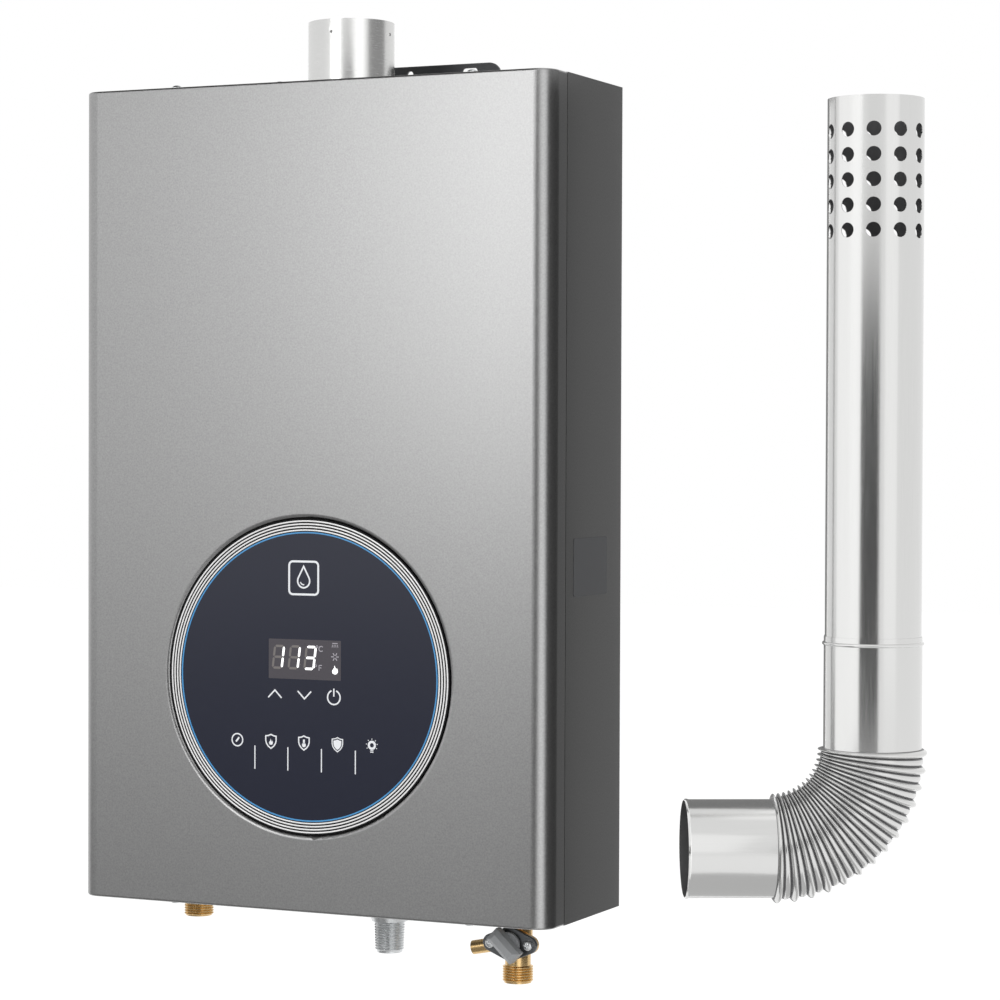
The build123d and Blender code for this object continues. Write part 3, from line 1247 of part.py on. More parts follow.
def elbow_section(turn, radius):
    """A circle across the elbow after a turn in degrees, from the sleeve towards the socket."""
    angle = math.radians(turn)
    origin = (ELBOW_RADIUS * (math.cos(angle) - 1), 0, -ELBOW_RADIUS * math.sin(angle))
    heading = (-math.sin(angle), 0, -math.cos(angle))
    return Plane(origin=origin, x_dir=(0, 1, 0), z_dir=heading) * Circle(radius)


def elbow_skin(foot_radius):
    """A right-angled bend whose ribs are large and small in turn."""
    pitch = 90.0 / ELBOW_RIBS
    sections = [elbow_section(0, foot_radius)]
    for i in range(ELBOW_RIBS):
        crest = foot_radius + (RIB_HEIGHT if i % 2 == 0 else SMALL_RIB_HEIGHT)
        for share, radius in (
            (RIB_FOOT, foot_radius), (RIB_CREST, crest), (1 - RIB_CREST, crest), (1 - RIB_FOOT, foot_radius),
        ):
            sections.append(elbow_section((i + share) * pitch, radius))
    sections.append(elbow_section(90, foot_radius))
    return loft(sections, ruled=True)


def make_flue_elbow():
    return PIPE_PLACE * (elbow_skin(CUFF_RADIUS) - elbow_skin(CUFF_INNER_RADIUS))


def make_flue_sleeve():
    sleeve = rod_z(0, SLEEVE_LENGTH, 0, 0, CUFF_RADIUS)
    sleeve += revolve(Plane.XZ * Pos(CUFF_RADIUS, SLEEVE_BEAD_UP) * Circle(SLEEVE_BEAD_RADIUS), Axis.Z)
    return PIPE_PLACE * (sleeve - rod_z(0, SLEEVE_LENGTH, 0, 0, CUFF_INNER_RADIUS))


def make_flue_tube():
    low = SLEEVE_LENGTH - FLUE_TUBE_INSERT
    top = low + FLUE_TUBE_LENGTH
    tube = rod_z(low, top, 0, 0, FLUE_TUBE_RADIUS)
    tube -= rod_z(low, top, 0, 0, FLUE_TUBE_RADIUS - PIPE_WALL)
    cutters = []
    for row in range(FLUE_HOLE_ROWS):
        z = top - FLUE_HOLE_DROP - row * FLUE_HOLE_PITCH
        for i in range(FLUE_HOLES_ROUND):
            turn = FLUE_HOLE_TURN - PIPE_TURN + 360.0 * i / FLUE_HOLES_ROUND
            hole = rod_y(-FLUE_TUBE_RADIUS - PIPE_WALL, -FLUE_TUBE_RADIUS / 2, 0, z, FLUE_HOLE_RADIUS)
            cutters.append(Rot(0, 0, turn) * hole)
    return PIPE_PLACE * tube.cut(*cutters)


MAKERS = {
    "rear_case": make_rear_case,
    "case_top": make_case_top,
    "case_floor": make_case_floor,
    "front_cover": make_front_cover,
    "cover_screws": make_cover_screws,
    "wall_bracket": make_wall_bracket,
    "lower_bracket": make_lower_bracket,
    "bracket_rivets": make_bracket_rivets,
    "rating_plate": make_rating_plate,
    "flue_collar": make_flue_collar,
    "flue_gasket": make_flue_gasket,
    "flue_screws": make_flue_screws,
    "panel_glass": make_panel_glass,
    "panel_accent_ring": make_accent_ring,
    "panel_bezel": make_panel_bezel,
    "panel_housing": make_panel_housing,
    "panel_nuts": make_panel_nuts,
    "display_module": make_display_module,
    "key_springs": make_key_springs,
    "touch_board": make_touch_board,
    "hot_outlet": make_hot_outlet,
    "gas_inlet": make_gas_inlet,
    "port_screws": make_port_screws,
    "inlet_valve_body": make_inlet_valve_body,
    "drain_spout": make_drain_spout,
    "stem_packing": make_stem_packing,
    "valve_flange": make_valve_flange,
    "flange_screws": make_flange_screws,
    "valve_stem": make_valve_stem,
    "drain_knob": make_drain_knob,
    "power_gland": make_power_gland,
    "gland_nut": make_gland_nut,
    "blower_housing": make_blower_housing,
    "blower_motor": make_blower_motor,
    "motor_shaft": make_motor_shaft,
    "blower_wheel": make_blower_wheel,
    "exhaust_hood": make_exhaust_hood,
    "combustion_chamber": make_combustion_chamber,
    "heat_exchanger": make_heat_exchanger,
    "return_bends": make_return_bends,
    "burner_box": make_burner_box,
    "burner_trays": make_burner_trays,
    "gas_manifold": make_gas_manifold,
    "gas_valve": make_gas_valve,
    "gas_valve_coil": make_gas_valve_coil,
    "gas_plunger": make_gas_plunger,
    "ignition_electrodes": make_ignition_electrodes,
    "thermal_cutout": make_thermal_cutout,
    "flow_sensor": make_flow_sensor,
    "flow_turbine": make_flow_turbine,
    "cold_pipe": make_cold_pipe,
    "hot_pipe": make_hot_pipe,
    "control_box": make_control_box,
    "control_board": make_control_board,
    "control_lid": make_control_lid,
    "ignition_module": make_ignition_module,
    "flue_socket": make_flue_socket,
    "flue_elbow": make_flue_elbow,
    "flue_sleeve": make_flue_sleeve,
    "flue_tube": make_flue_tube,
}

os.makedirs("parts", exist_ok=True)
for name, maker in MAKERS.items():
    export_step(maker(), f"parts/{name}.step")
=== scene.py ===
import contextlib
import json
import math

import bmesh
import bpy
from mathutils import Matrix, Vector


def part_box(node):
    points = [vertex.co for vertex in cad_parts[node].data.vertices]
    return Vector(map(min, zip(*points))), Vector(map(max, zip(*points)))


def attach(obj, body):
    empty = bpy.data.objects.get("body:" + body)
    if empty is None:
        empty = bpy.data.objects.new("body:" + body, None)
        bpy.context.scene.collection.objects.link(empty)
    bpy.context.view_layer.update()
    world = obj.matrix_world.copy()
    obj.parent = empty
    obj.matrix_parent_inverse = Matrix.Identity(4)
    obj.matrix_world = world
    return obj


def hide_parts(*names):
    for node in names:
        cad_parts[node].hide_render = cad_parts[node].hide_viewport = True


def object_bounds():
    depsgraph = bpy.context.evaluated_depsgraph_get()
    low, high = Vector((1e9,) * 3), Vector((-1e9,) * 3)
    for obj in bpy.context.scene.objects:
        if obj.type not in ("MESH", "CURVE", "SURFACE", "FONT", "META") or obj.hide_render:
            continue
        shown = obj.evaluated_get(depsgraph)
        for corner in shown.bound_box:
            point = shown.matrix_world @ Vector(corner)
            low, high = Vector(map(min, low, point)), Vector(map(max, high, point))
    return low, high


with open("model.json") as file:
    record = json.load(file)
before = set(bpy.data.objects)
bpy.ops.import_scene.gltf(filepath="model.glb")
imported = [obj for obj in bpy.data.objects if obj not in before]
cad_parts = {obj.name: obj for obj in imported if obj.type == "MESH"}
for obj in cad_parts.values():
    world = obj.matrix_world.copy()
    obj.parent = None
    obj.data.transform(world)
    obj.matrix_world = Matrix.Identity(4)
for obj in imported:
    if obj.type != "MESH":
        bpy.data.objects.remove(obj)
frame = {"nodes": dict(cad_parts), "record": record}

bl_info = {
    "name": "Tankless water heater",
    "version": (1, 0, 0),
    "blender": (4, 5, 0),
    "location": "3D View > Sidebar > Heater",
    "description": "Dresses a wall-hung gas water heater and its separate flue pipe",
    "category": "Object",
}

MM = 0.001
# Points nearer than this are one, in copies of CAD nodes and in the scene's own meshes
CAD_WELD = 0.002 * MM
OWN_WELD = 0.001 * MM
# Steps round a pipe, the bezel, the elbow, a tube's hole and a screw, over a crest and along a rib
ROUND = 160
BEZEL_ROUND = 224
HOOP_ROUND = 112
HOLE_ROUND = 28
SCREW_ROUND = 40
CREST_STEPS = 6
RIB_STEPS = 10.0
BEAD_STEPS = 8
# A rib's fullness, a punch's depth in walls, and the bore's cutter in tube lengths
RIB_POWER = 0.8
PUNCH_DEPTH = 12.0
PAST_ENDS = 1.1
# Where a screw's crown starts and how far it rises, in head heights
CROWN_FOOT, CROWN_RISE = 0.45, 0.55
CAD_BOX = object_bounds()
RECORD = frame["record"]
SLOT_OF = {part["node"]: part["material_slot"] for part in RECORD["subparts"]}
BODY_OF = {node: body for body, nodes in RECORD["behaviour"]["bodies"].items() for node in nodes}
MOUNT = {mount["name"]: mount for mount in RECORD["mounts"]}


def middle(node):
    low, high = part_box(node)
    return (low + high) / 2


def linear(hex_colour):
    """Linear RGBA of an sRGB hex colour."""
    shares = [int(hex_colour[i:i + 2], 16) / 255 for i in (1, 3, 5)]
    return [s / 12.92 if s <= 0.04045 else ((s + 0.055) / 1.055) ** 2.4 for s in shares] + [1.0]


# Settings that a user would change

def colour_property(name, description, hex_colour):
    return bpy.props.FloatVectorProperty(
        name=name, description=description, subtype="COLOR", size=4, min=0.0, max=1.0,
        default=linear(hex_colour),
    )


def length_property(name, description, millimetres):
    return bpy.props.FloatProperty(
        name=name, description=description, subtype="DISTANCE", unit="LENGTH", min=0.0,
        default=millimetres * MM,
    )


def count_property(name, description, count, least):
    return bpy.props.IntProperty(name=name, description=description, min=least, default=count)


def angle_property(name, description, degrees):
    return bpy.props.FloatProperty(
        name=name, description=description, subtype="ANGLE", default=math.radians(degrees),
    )


def level_property(name, description, level):
    return bpy.props.FloatProperty(name=name, description=description, min=0.0, default=level)


class HeaterCabinet(bpy.types.PropertyGroup):
    cover_colour: colour_property("Cover paint", "Silver-grey metallic paint of the front", "#9F9F9F")
    # The case's paint is drawn a little darker than the cover's: painted shade on the cabinet's side.
    shaded_case_colour: colour_property("Case paint", "Grey metallic paint of the rear case", "#949494")
    flake: length_property("Flake size", "Size of the paint's metallic flakes", 1.2)
    edge: length_property("Edge rounding", "Radius on cut and folded sheet edges", 0.5)
    label_corner: length_property("Label corner", "Corner radius of the side label", 1.5)


class HeaterPanel(bpy.types.PropertyGroup):
    glass_colour: colour_property("Glass", "Dark print behind the panel's glass", "#171B2E")
    accent_colour: colour_property("Accent ring", "Blue ring round the glass", "#4F97CF")
    ink_colour: colour_property("Ink", "White print on the glass", "#E6E8EC")
    window_colour: colour_property("Display window", "Unlit display behind the glass", "#464249")
    ghost_colour: colour_property("Unlit segments", "Display segments that are off", "#76716F")
    ridges: count_property("Bezel ridges", "Bright rings on the bezel", 4, 1)
    ridge: length_property("Bezel ridge", "Width of each bright ridge on the bezel", 1.05)
    groove: length_property("Bezel groove", "Width of the dark lines between the bezel's ridges", 1.0)
    relief: length_property("Bezel relief", "Height of the ridges above the grooves", 0.35)
    ink: length_property("Ink thickness", "How far the print stands proud of the glass", 0.05)


class HeaterPipe(bpy.types.PropertyGroup):
    steel_colour: colour_property("Stainless steel", "Polished stainless steel of the flue", "#D5D5D4")
    wall: length_property("Sheet thickness", "Wall of the flue pipe", 0.5)
    ribs: count_property("Ribs", "Ribs round the elbow's bend", 27, 3)
    rib: length_property("Rib height", "Height of every second rib", 3.4)
    small_rib: length_property("Small rib height", "Height of the ribs between", 1.3)
    # Below this height the elbow's steel is darker as well as dull: painted shade in the valleys between
    # the ribs.
    valley: length_property("Dull valley", "Height on a rib below which the steel is dull", 0.8)
    rows: count_property("Hole rows", "Rows of outlet holes", 5, 1)
    holes: count_property("Holes in a row", "Holes round the tube", 11, 3)
    hole: length_property("Hole radius", "Radius of an outlet hole", 4.6)
    hole_pitch: length_property("Row pitch", "Distance between the rows of holes", 15.5)
    hole_drop: length_property("First row", "First row's distance below the tube's end", 21.0)
    hole_turn: angle_property("Hole turn", "Where round the tube the first hole faces", 15.2)


class HeaterFittings(bpy.types.PropertyGroup):
    brass_colour: colour_property("Brass", "Machined brass of the water ports", "#DDBC86")
    zinc_colour: colour_property("Zinc", "Zinc plating of the gas port and the screws", "#DCDEDF")
    # The knob's light grey plastic is drawn darker: painted shade from the cabinet above it.
    shaded_knob_colour: colour_property("Knob", "Light grey plastic of the drain knob", "#9C9EA0")
    screw_radius: length_property("Screw head", "Radius of a pan-head screw", 3.4)
    screw_height: length_property("Screw head height", "Height of a pan-head screw", 2.8)
    washer_radius: length_property("Washer", "Radius of the pressed-on washer", 4.4)
    washer_height: length_property("Washer height", "Thickness of the pressed-on washer", 1.0)
    edge: length_property("Edge rounding", "Radius on machined and moulded edges", 0.35)


class HeaterStage(bpy.types.PropertyGroup):
    camera_place: bpy.props.FloatVectorProperty(
        name="Camera", description="Where the camera stands", subtype="XYZ", unit="LENGTH", size=3,
        default=(0.96734, -1.91538, -0.26412),
    )
    camera_turn: angle_property("Turn", "Camera's turn about the vertical", 24.715)
    camera_fall: angle_property("Fall", "How far the camera looks down", 1.035)
    camera_roll: angle_property("Roll", "Camera's turn about its own line of sight", 0.205)
    lens: bpy.props.FloatProperty(
        name="Lens", description="Focal length in millimetres", default=107.69, min=1.0,
    )
    floor_drop: length_property("Floor drop", "Floor's distance below the lowest piece", 260.0)
    key: level_property("Key", "Key lamp's brightness; 1 is the surroundings' white", 2.9)
    fill: level_property("Fill", "Brightness of the fill, top and back lamps", 0.2)
    flag: bpy.props.FloatProperty(
        name="Flags", description="Tone of the dark cards that reflections see", min=0.0, max=1.0,
        default=0.06,
    )


# Mesh helpers

def new_object(name, data):
    """A new object in the scene."""
    made = bpy.data.objects.new(name, data)
    bpy.context.scene.collection.objects.link(made)
    return made


@contextlib.contextmanager
def editing(mesh):
    """A mesh's editable form, which goes back into the mesh at the block's end."""
    form = bmesh.new()
    form.from_mesh(mesh)
    yield form
    form.to_mesh(mesh)
    form.free()


def applied(name, blank):
    """The plain mesh that a blank's modifiers make; the blank itself goes."""
    graph = bpy.context.evaluated_depsgraph_get()
    made = bpy.data.meshes.new_from_object(blank.evaluated_get(graph))
    made.name = name
    bpy.data.objects.remove(blank)
    return made


def plain_mesh(name, mesh, modifiers):
    """The plain mesh that modifiers make of a mesh; each is a type with its settings."""
    blank = new_object(name, mesh)
    for kind, settings in modifiers:
        modifier = blank.modifiers.new(kind.title(), kind)
        for key, value in settings.items():
            setattr(modifier, key, value)
    return applied(name, blank)


def grown_mesh(name, tree, values):
    """The plain mesh that a geometry node tree makes with these input values."""
    blank = new_object(name, bpy.data.meshes.new(name))
    modifier = blank.modifiers.new("Nodes", "NODES")
    modifier.node_group = tree
    for item in tree.interface.items_tree:
        if item.in_out == "INPUT" and item.name in values:
            modifier[item.identifier] = values[item.name]
    return applied(name, blank)


def shade(mesh, degrees=35):
    """Smooth shading with sharp edges over an angle."""
    mesh.shade_smooth()
    mesh.set_sharp_from_angle(angle=math.radians(degrees))
    return mesh


def faced(mesh):
    """Merges doubles and turns every face outwards."""
    with editing(mesh) as form:
        bmesh.ops.remove_doubles(form, verts=form.verts, dist=OWN_WELD)
        bmesh.ops.recalc_face_normals(form, faces=form.faces)
    return mesh


def skin(name, loops, close_ends, band_slots=None):
    """A mesh through closed loops of points; band_slots gives a material number for each band."""
    count = len(loops[0])
    points = [point for loop in loops for point in loop]
    bands = len(loops) if close_ends else len(loops) - 1
    faces = []
    numbers = []
    for band in range(bands):
        start = band * count
        after = (band + 1) % len(loops) * count
        for i in range(count):
            j = (i + 1) % count
            faces.append((start + i, start + j, after + j, after + i))
            numbers.append(band_slots[band] if band_slots else 0)
    mesh = bpy.data.meshes.new(name)
    mesh.from_pydata(points, [], faces)
    mesh.polygons.foreach_set("material_index", numbers)
    return faced(mesh)


def lathe(name, outline, place, steps=ROUND, band_slots=None):
    """A ring turned from a closed outline of (radius, height) about the Z axis of a place."""
    turns = [2 * math.pi * i / steps for i in range(steps)]
    loops = [
        [place @ Vector((radius * math.cos(t), radius * math.sin(t), height)) for t in turns]
        for radius, height in outline
    ]
    return skin(name, loops, True, band_slots)


def rounded_copy(node, edge, degrees=35):
    """A merged copy of a node whose sharp edges are rounded off."""
    mesh = frame["nodes"][node].data.copy()
    mesh.materials.clear()
    flat = math.radians(0.2)
    with editing(mesh) as form:
        bmesh.ops.remove_doubles(form, verts=form.verts, dist=CAD_WELD)
        bmesh.ops.dissolve_limit(form, angle_limit=flat, verts=form.verts, edges=form.edges)
    mesh.shade_smooth()
    bevel = {
        "width": edge, "segments": 2, "limit_method": "ANGLE", "angle_limit": math.radians(degrees),
        "use_clamp_overlap": True,
    }
    return plain_mesh(node + "_form", mesh, [("BEVEL", bevel), ("WEIGHTED_NORMAL", {"keep_sharp": True})])


def add_piece(name, mesh, nodes, materials, stands_for_nodes=True):
    """A finished piece with the given materials, which rides on its nodes' body and may stand for them."""
    piece = new_object(name, mesh)
    numbers = [face.material_index for face in mesh.polygons]
    mesh.materials.clear()
    for material in materials:
        mesh.materials.append(material)
    mesh.polygons.foreach_set("material_index", numbers)
    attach(piece, BODY_OF[nodes[0]])
    if stands_for_nodes:
        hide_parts(*nodes)


def paint_node(node, material):
    """Gives a CAD node, whose own shape stays, its material."""
    mesh = frame["nodes"][node].data
    mesh.materials.clear()
    mesh.materials.append(material)


# Node helpers

def add(tree, kind, settings, inputs):
    """Adds a node with its settings; an input is a value or a socket to link from."""
    made = tree.nodes.new(kind)
    for key, value in settings.items():
        setattr(made, key, value)
    for key, value in inputs.items():
        if isinstance(value, bpy.types.NodeSocket):
            tree.links.new(value, made.inputs[key])
        else:
            made.inputs[key].default_value = value
    return made


def new_tree(name, inputs):
    """A geometry node tree with named inputs, its group input and its group output."""
    tree = bpy.data.node_groups.new(name, "GeometryNodeTree")
    for label, kind in inputs:
        tree.interface.new_socket(label, in_out="INPUT", socket_type="NodeSocket" + kind)
    tree.interface.new_socket("Geometry", in_out="OUTPUT", socket_type="NodeSocketGeometry")
    return tree, add(tree, "NodeGroupInput", {}, {}), add(tree, "NodeGroupOutput", {}, {})


def surface(name, sockets):
    """A material with a Principled shader and these socket values."""
    material = bpy.data.materials.new(name)
    material.use_nodes = True
    tree = material.node_tree
    shader = tree.nodes["Principled BSDF"]
    for key, value in sockets.items():
        shader.inputs[key].default_value = value
    return material, tree, shader


def grained(name, colour, grain, contrast, rough, spread, bump, stretch=(1, 1, 1), sockets=None):
    """A surface whose tone, gloss and relief follow one noise.

    grain is the pattern's size, stretch lengthens it along X, Y and Z, contrast is how far the
    colour swings, spread how far the roughness swings, and bump the relief's depth.
    """
    material, tree, shader = surface(name, sockets or {})
    spot = add(tree, "ShaderNodeTexCoord", {}, {})
    scale = [1 / (grain * s) for s in stretch]
    place = add(tree, "ShaderNodeMapping", {}, {"Vector": spot.outputs["Object"], "Scale": scale})
    noise = add(tree, "ShaderNodeTexNoise", {}, {
        "Vector": place.outputs["Vector"], "Scale": 1.0, "Detail": 3.0, "Roughness": 0.6,
    })
    dark = [share * (1 - contrast) for share in colour[:3]] + [1.0]
    pale = [min(1.0, share * (1 + contrast)) for share in colour[:3]] + [1.0]
    # Mix's colour sockets are its inputs 6 and 7 and its output 2
    tone = add(tree, "ShaderNodeMix", {"data_type": "RGBA"}, {0: noise.outputs["Fac"], 6: dark, 7: pale})
    gloss = add(tree, "ShaderNodeMapRange", {}, {
        "Value": noise.outputs["Fac"], "From Min": 0.25, "From Max": 0.75,
        "To Min": rough - spread, "To Max": rough + spread,
    })
    relief = add(tree, "ShaderNodeBump", {}, {
        "Height": noise.outputs["Fac"], "Distance": bump, "Strength": 1.0,
    })
    tree.links.new(tone.outputs[2], shader.inputs["Base Color"])
    tree.links.new(gloss.outputs["Result"], shader.inputs["Roughness"])
    tree.links.new(relief.outputs["Normal"], shader.inputs["Normal"])
    return material


# Materials

def metallic_paint(name, colour, flake):
    """Stoved metallic acrylic on sheet steel: an even satin skin with a fine sparkle of flakes.

    The flakes are drawn much coarser than real ones, so that they show.
    """
    return grained(
        name, colour, grain=flake, contrast=0.3, rough=0.32, spread=0.03, bump=0.0005 * MM,
        sockets={"Metallic": 0.95},
    )


def dark_steel():
    """E-coated sheet steel: near black, with a low sheen and a faint mottle."""
    return grained(
        "e_coated_steel", linear("#3A3B3D"), grain=2.5 * MM, contrast=0.2, rough=0.42, spread=0.08,
        bump=0.01 * MM, sockets={"Metallic": 0.55},
    )


def brushed_stainless(colour):
    """Stainless sheet brushed round the collar: short streaks that smear each reflection."""
    return grained(
        "brushed_stainless", colour, grain=0.35 * MM, contrast=0.05, rough=0.24, spread=0.05,
        bump=0.002 * MM, stretch=(30, 30, 1), sockets={"Metallic": 1.0, "Anisotropic": 0.35},
    )


def polished_stainless(name, colour, stretch):
    """Thin polished stainless pipe: near mirror, with faint drawing lines along it."""
    return grained(
        name, colour, grain=0.6 * MM, contrast=0.03, rough=0.17, spread=0.03, bump=0.003 * MM,
        stretch=stretch, sockets={"Metallic": 1.0},
    )


def dull_shaded_stainless(name, colour):
    """Rolled stainless that no wheel has reached, dull and drawn in a darker grey: painted shade for bores
    and hollows, with a broad mottling and no mirror.
    """
    return grained(
        name, colour, grain=3.0 * MM, contrast=0.2, rough=0.5, spread=0.08, bump=0.01 * MM,
        stretch=(1, 1, 3), sockets={"Metallic": 0.7},
    )


def machined_brass(colour):
    """Turned brass: a warm satin metal with rings from the tool, drawn coarse so that they show."""
    return grained(
        "machined_brass", colour, grain=0.5 * MM, contrast=0.1, rough=0.27, spread=0.07,
        bump=0.004 * MM, stretch=(6, 6, 1), sockets={"Metallic": 1.0},
    )


def zinc_plate(colour):
    """Zinc-plated steel: a bright grey with cloudy patches."""
    return grained(
        "zinc_plated_steel", colour, grain=1.6 * MM, contrast=0.14, rough=0.33, spread=0.08,
        bump=0.01 * MM, sockets={"Metallic": 1.0},
    )


def moulded_abs(name, colour, rough):
    """Spark-eroded ABS moulding: a dull even plastic with a pebble, drawn coarse so that it shows."""
    return grained(
        name, colour, grain=0.5 * MM, contrast=0.04, rough=rough, spread=0.04, bump=0.012 * MM,
        sockets={"IOR": 1.53},
    )


def label_film():
    """Matt polyester label film: a thin dark sheet, smoother than the paint round it."""
    return grained(
        "polyester_film", linear("#565759"), grain=0.4 * MM, contrast=0.06, rough=0.5, spread=0.04,
        bump=0.001 * MM, sockets={"IOR": 1.58},
    )


def panel_glass(colour):
    """Tempered glass with a dark print behind it: a deep even slate under one sharp gloss."""
    return grained(
        "back_printed_glass", colour, grain=6.0 * MM, contrast=0.02, rough=0.13, spread=0.02,
        bump=0.0, sockets={"IOR": 1.52},
    )


def chrome_trim():
    """Satin chrome on a moulded ring, near white and only a little metallic: a painted highlight, bright
    and even, so that each ridge reads as a white line.
    """
    return grained(
        "satin_chrome_painted_highlight", linear("#F4F4F4"), grain=1.2 * MM, contrast=0.02, rough=0.3, spread=0.03,
        bump=0.001 * MM, sockets={"Metallic": 0.2},
    )


def painted_groove_shade():
    """Black paint in the bezel's grooves: painted shade, a dull dark line between the bright ridges."""
    return grained(
        "painted_groove_shade", linear("#101012"), grain=0.5 * MM, contrast=0.1, rough=0.6, spread=0.05,
        bump=0.002 * MM, sockets={"Specular IOR Level": 0.15},
    )


def clear_acrylic(colour):
    """Tinted acrylic ring: a saturated gloss."""
    return grained(
        "tinted_acrylic", colour, grain=3.0 * MM, contrast=0.06, rough=0.15, spread=0.03, bump=0.0,
        sockets={"IOR": 1.49},
    )


def screen_ink(name, colour, glow):
    """Screen-printed ink: a flat opaque film, with a little grain from the mesh."""
    return grained(
        name, colour, grain=0.25 * MM, contrast=0.03, rough=0.45, spread=0.03, bump=0.0,
        sockets={"Emission Color": colour, "Emission Strength": glow},
    )


def rubber():
    """Moulded nitrile rubber: black and dull."""
    return grained(
        "nitrile_rubber", linear("#2A2A2B"), grain=1.0 * MM, contrast=0.15, rough=0.7, spread=0.08,
        bump=0.02 * MM,
    )


def galvanised_sheet():
    """Hot-dip galvanised sheet: pale grey with broad crystal patches."""
    return grained(
        "galvanised_sheet", linear("#B3B8BA"), grain=6.0 * MM, contrast=0.16, rough=0.38, spread=0.1,
        bump=0.005 * MM, sockets={"Metallic": 1.0},
    )


def drawn_copper():
    """Drawn copper tube: warm red metal with lines along the draw."""
    return grained(
        "drawn_copper", linear("#C77B58"), grain=1.2 * MM, contrast=0.15, rough=0.3, spread=0.1,
        bump=0.004 * MM, stretch=(1, 1, 5), sockets={"Metallic": 1.0},
    )


def die_cast():
    """Die-cast aluminium: a dull grey skin with flow marks."""
    return grained(
        "die_cast_aluminium", linear("#A8AAAB"), grain=3.0 * MM, contrast=0.1, rough=0.45, spread=0.08,
        bump=0.02 * MM, stretch=(1, 1, 2), sockets={"Metallic": 1.0},
    )


def circuit_board():
    """Solder mask over laminate: green with a faint weave."""
    return grained(
        "solder_mask", linear("#1F6B3A"), grain=1.0 * MM, contrast=0.2, rough=0.35, spread=0.05,
        bump=0.004 * MM, stretch=(1, 4, 1),
    )


def fired_ceramic():
    """Unglazed alumina: off-white and chalky."""
    return grained(
        "alumina_ceramic", linear("#E4DFD3"), grain=0.8 * MM, contrast=0.06, rough=0.6, spread=0.06,
        bump=0.01 * MM,
    )


FINISHES = {}


def finishes(scene):
    """One material for each slot of the record, made once."""
    if FINISHES:
        return FINISHES
    cabinet = scene.heater_cabinet
    panel = scene.heater_panel
    fittings = scene.heater_fittings
    steel = scene.heater_pipe.steel_colour
    FINISHES.update({
        "cover_paint": metallic_paint("silver_metallic_paint", cabinet.cover_colour, cabinet.flake),
        # The case's darker grey is painted shade on the cabinet's side.
        "case_paint": metallic_paint("grey_metallic_paint", cabinet.shaded_case_colour, cabinet.flake),
        "dark_steel": dark_steel(),
        "zinc_steel": zinc_plate(fittings.zinc_colour),
        "label_film": label_film(),
        "stainless": polished_stainless("polished_stainless", steel, (1, 1, 60)),
        "seal_rubber": rubber(),
        "panel_glass": panel_glass(panel.glass_colour),
        "accent_blue": clear_acrylic(panel.accent_colour),
        "chrome_trim": chrome_trim(),
        "black_plastic": moulded_abs("black_abs", linear("#2B2B2D"), 0.5),
        "circuit_board": circuit_board(),
        "brass": machined_brass(fittings.brass_colour),
        # Zinc plate drawn dark grey: painted shade on the valve flange under the cabinet.
        "dark_casting": zinc_plate(linear("#6E7072")),
        # The knob's darker grey is painted shade from the cabinet above it.
        "grey_plastic": moulded_abs("light_grey_abs", fittings.shaded_knob_colour, 0.42),
        "galvanised": galvanised_sheet(),
        "copper": drawn_copper(),
        "die_cast": die_cast(),
        "coil_plastic": moulded_abs("coil_cover_abs", linear("#33343A"), 0.45),
        "ceramic": fired_ceramic(),
    })
    return FINISHES


# Geometry node trees

def screw_tree():
    """Sets a screw on each point, with its head along the point's facing."""
    tree, start, end = new_tree("screw_set", [
        ("Places", "Object"), ("Screw", "Object"), ("Finish", "Material"),
    ])
    places = add(tree, "GeometryNodeObjectInfo", {}, {"Object": start.outputs["Places"]})
    screw = add(tree, "GeometryNodeObjectInfo", {}, {
        "Object": start.outputs["Screw"], "As Instance": True,
    })
    facing = add(tree, "GeometryNodeInputNamedAttribute", {"data_type": "FLOAT_VECTOR"}, {
        "Name": "facing",
    })
    turn = add(tree, "FunctionNodeAlignRotationToVector", {"axis": "Z"}, {
        "Vector": facing.outputs["Attribute"],
    })
    placed = add(tree, "GeometryNodeInstanceOnPoints", {}, {
        "Points": places.outputs["Geometry"], "Instance": screw.outputs["Geometry"],
        "Rotation": turn.outputs["Rotation"],
    })
    real = add(tree, "GeometryNodeRealizeInstances", {}, {"Geometry": placed.outputs["Instances"]})
    painted = add(tree, "GeometryNodeSetMaterial", {}, {
        "Geometry": real.outputs["Geometry"], "Material": start.outputs["Finish"],
    })
    tree.links.new(painted.outputs["Geometry"], end.inputs["Geometry"])
    return tree


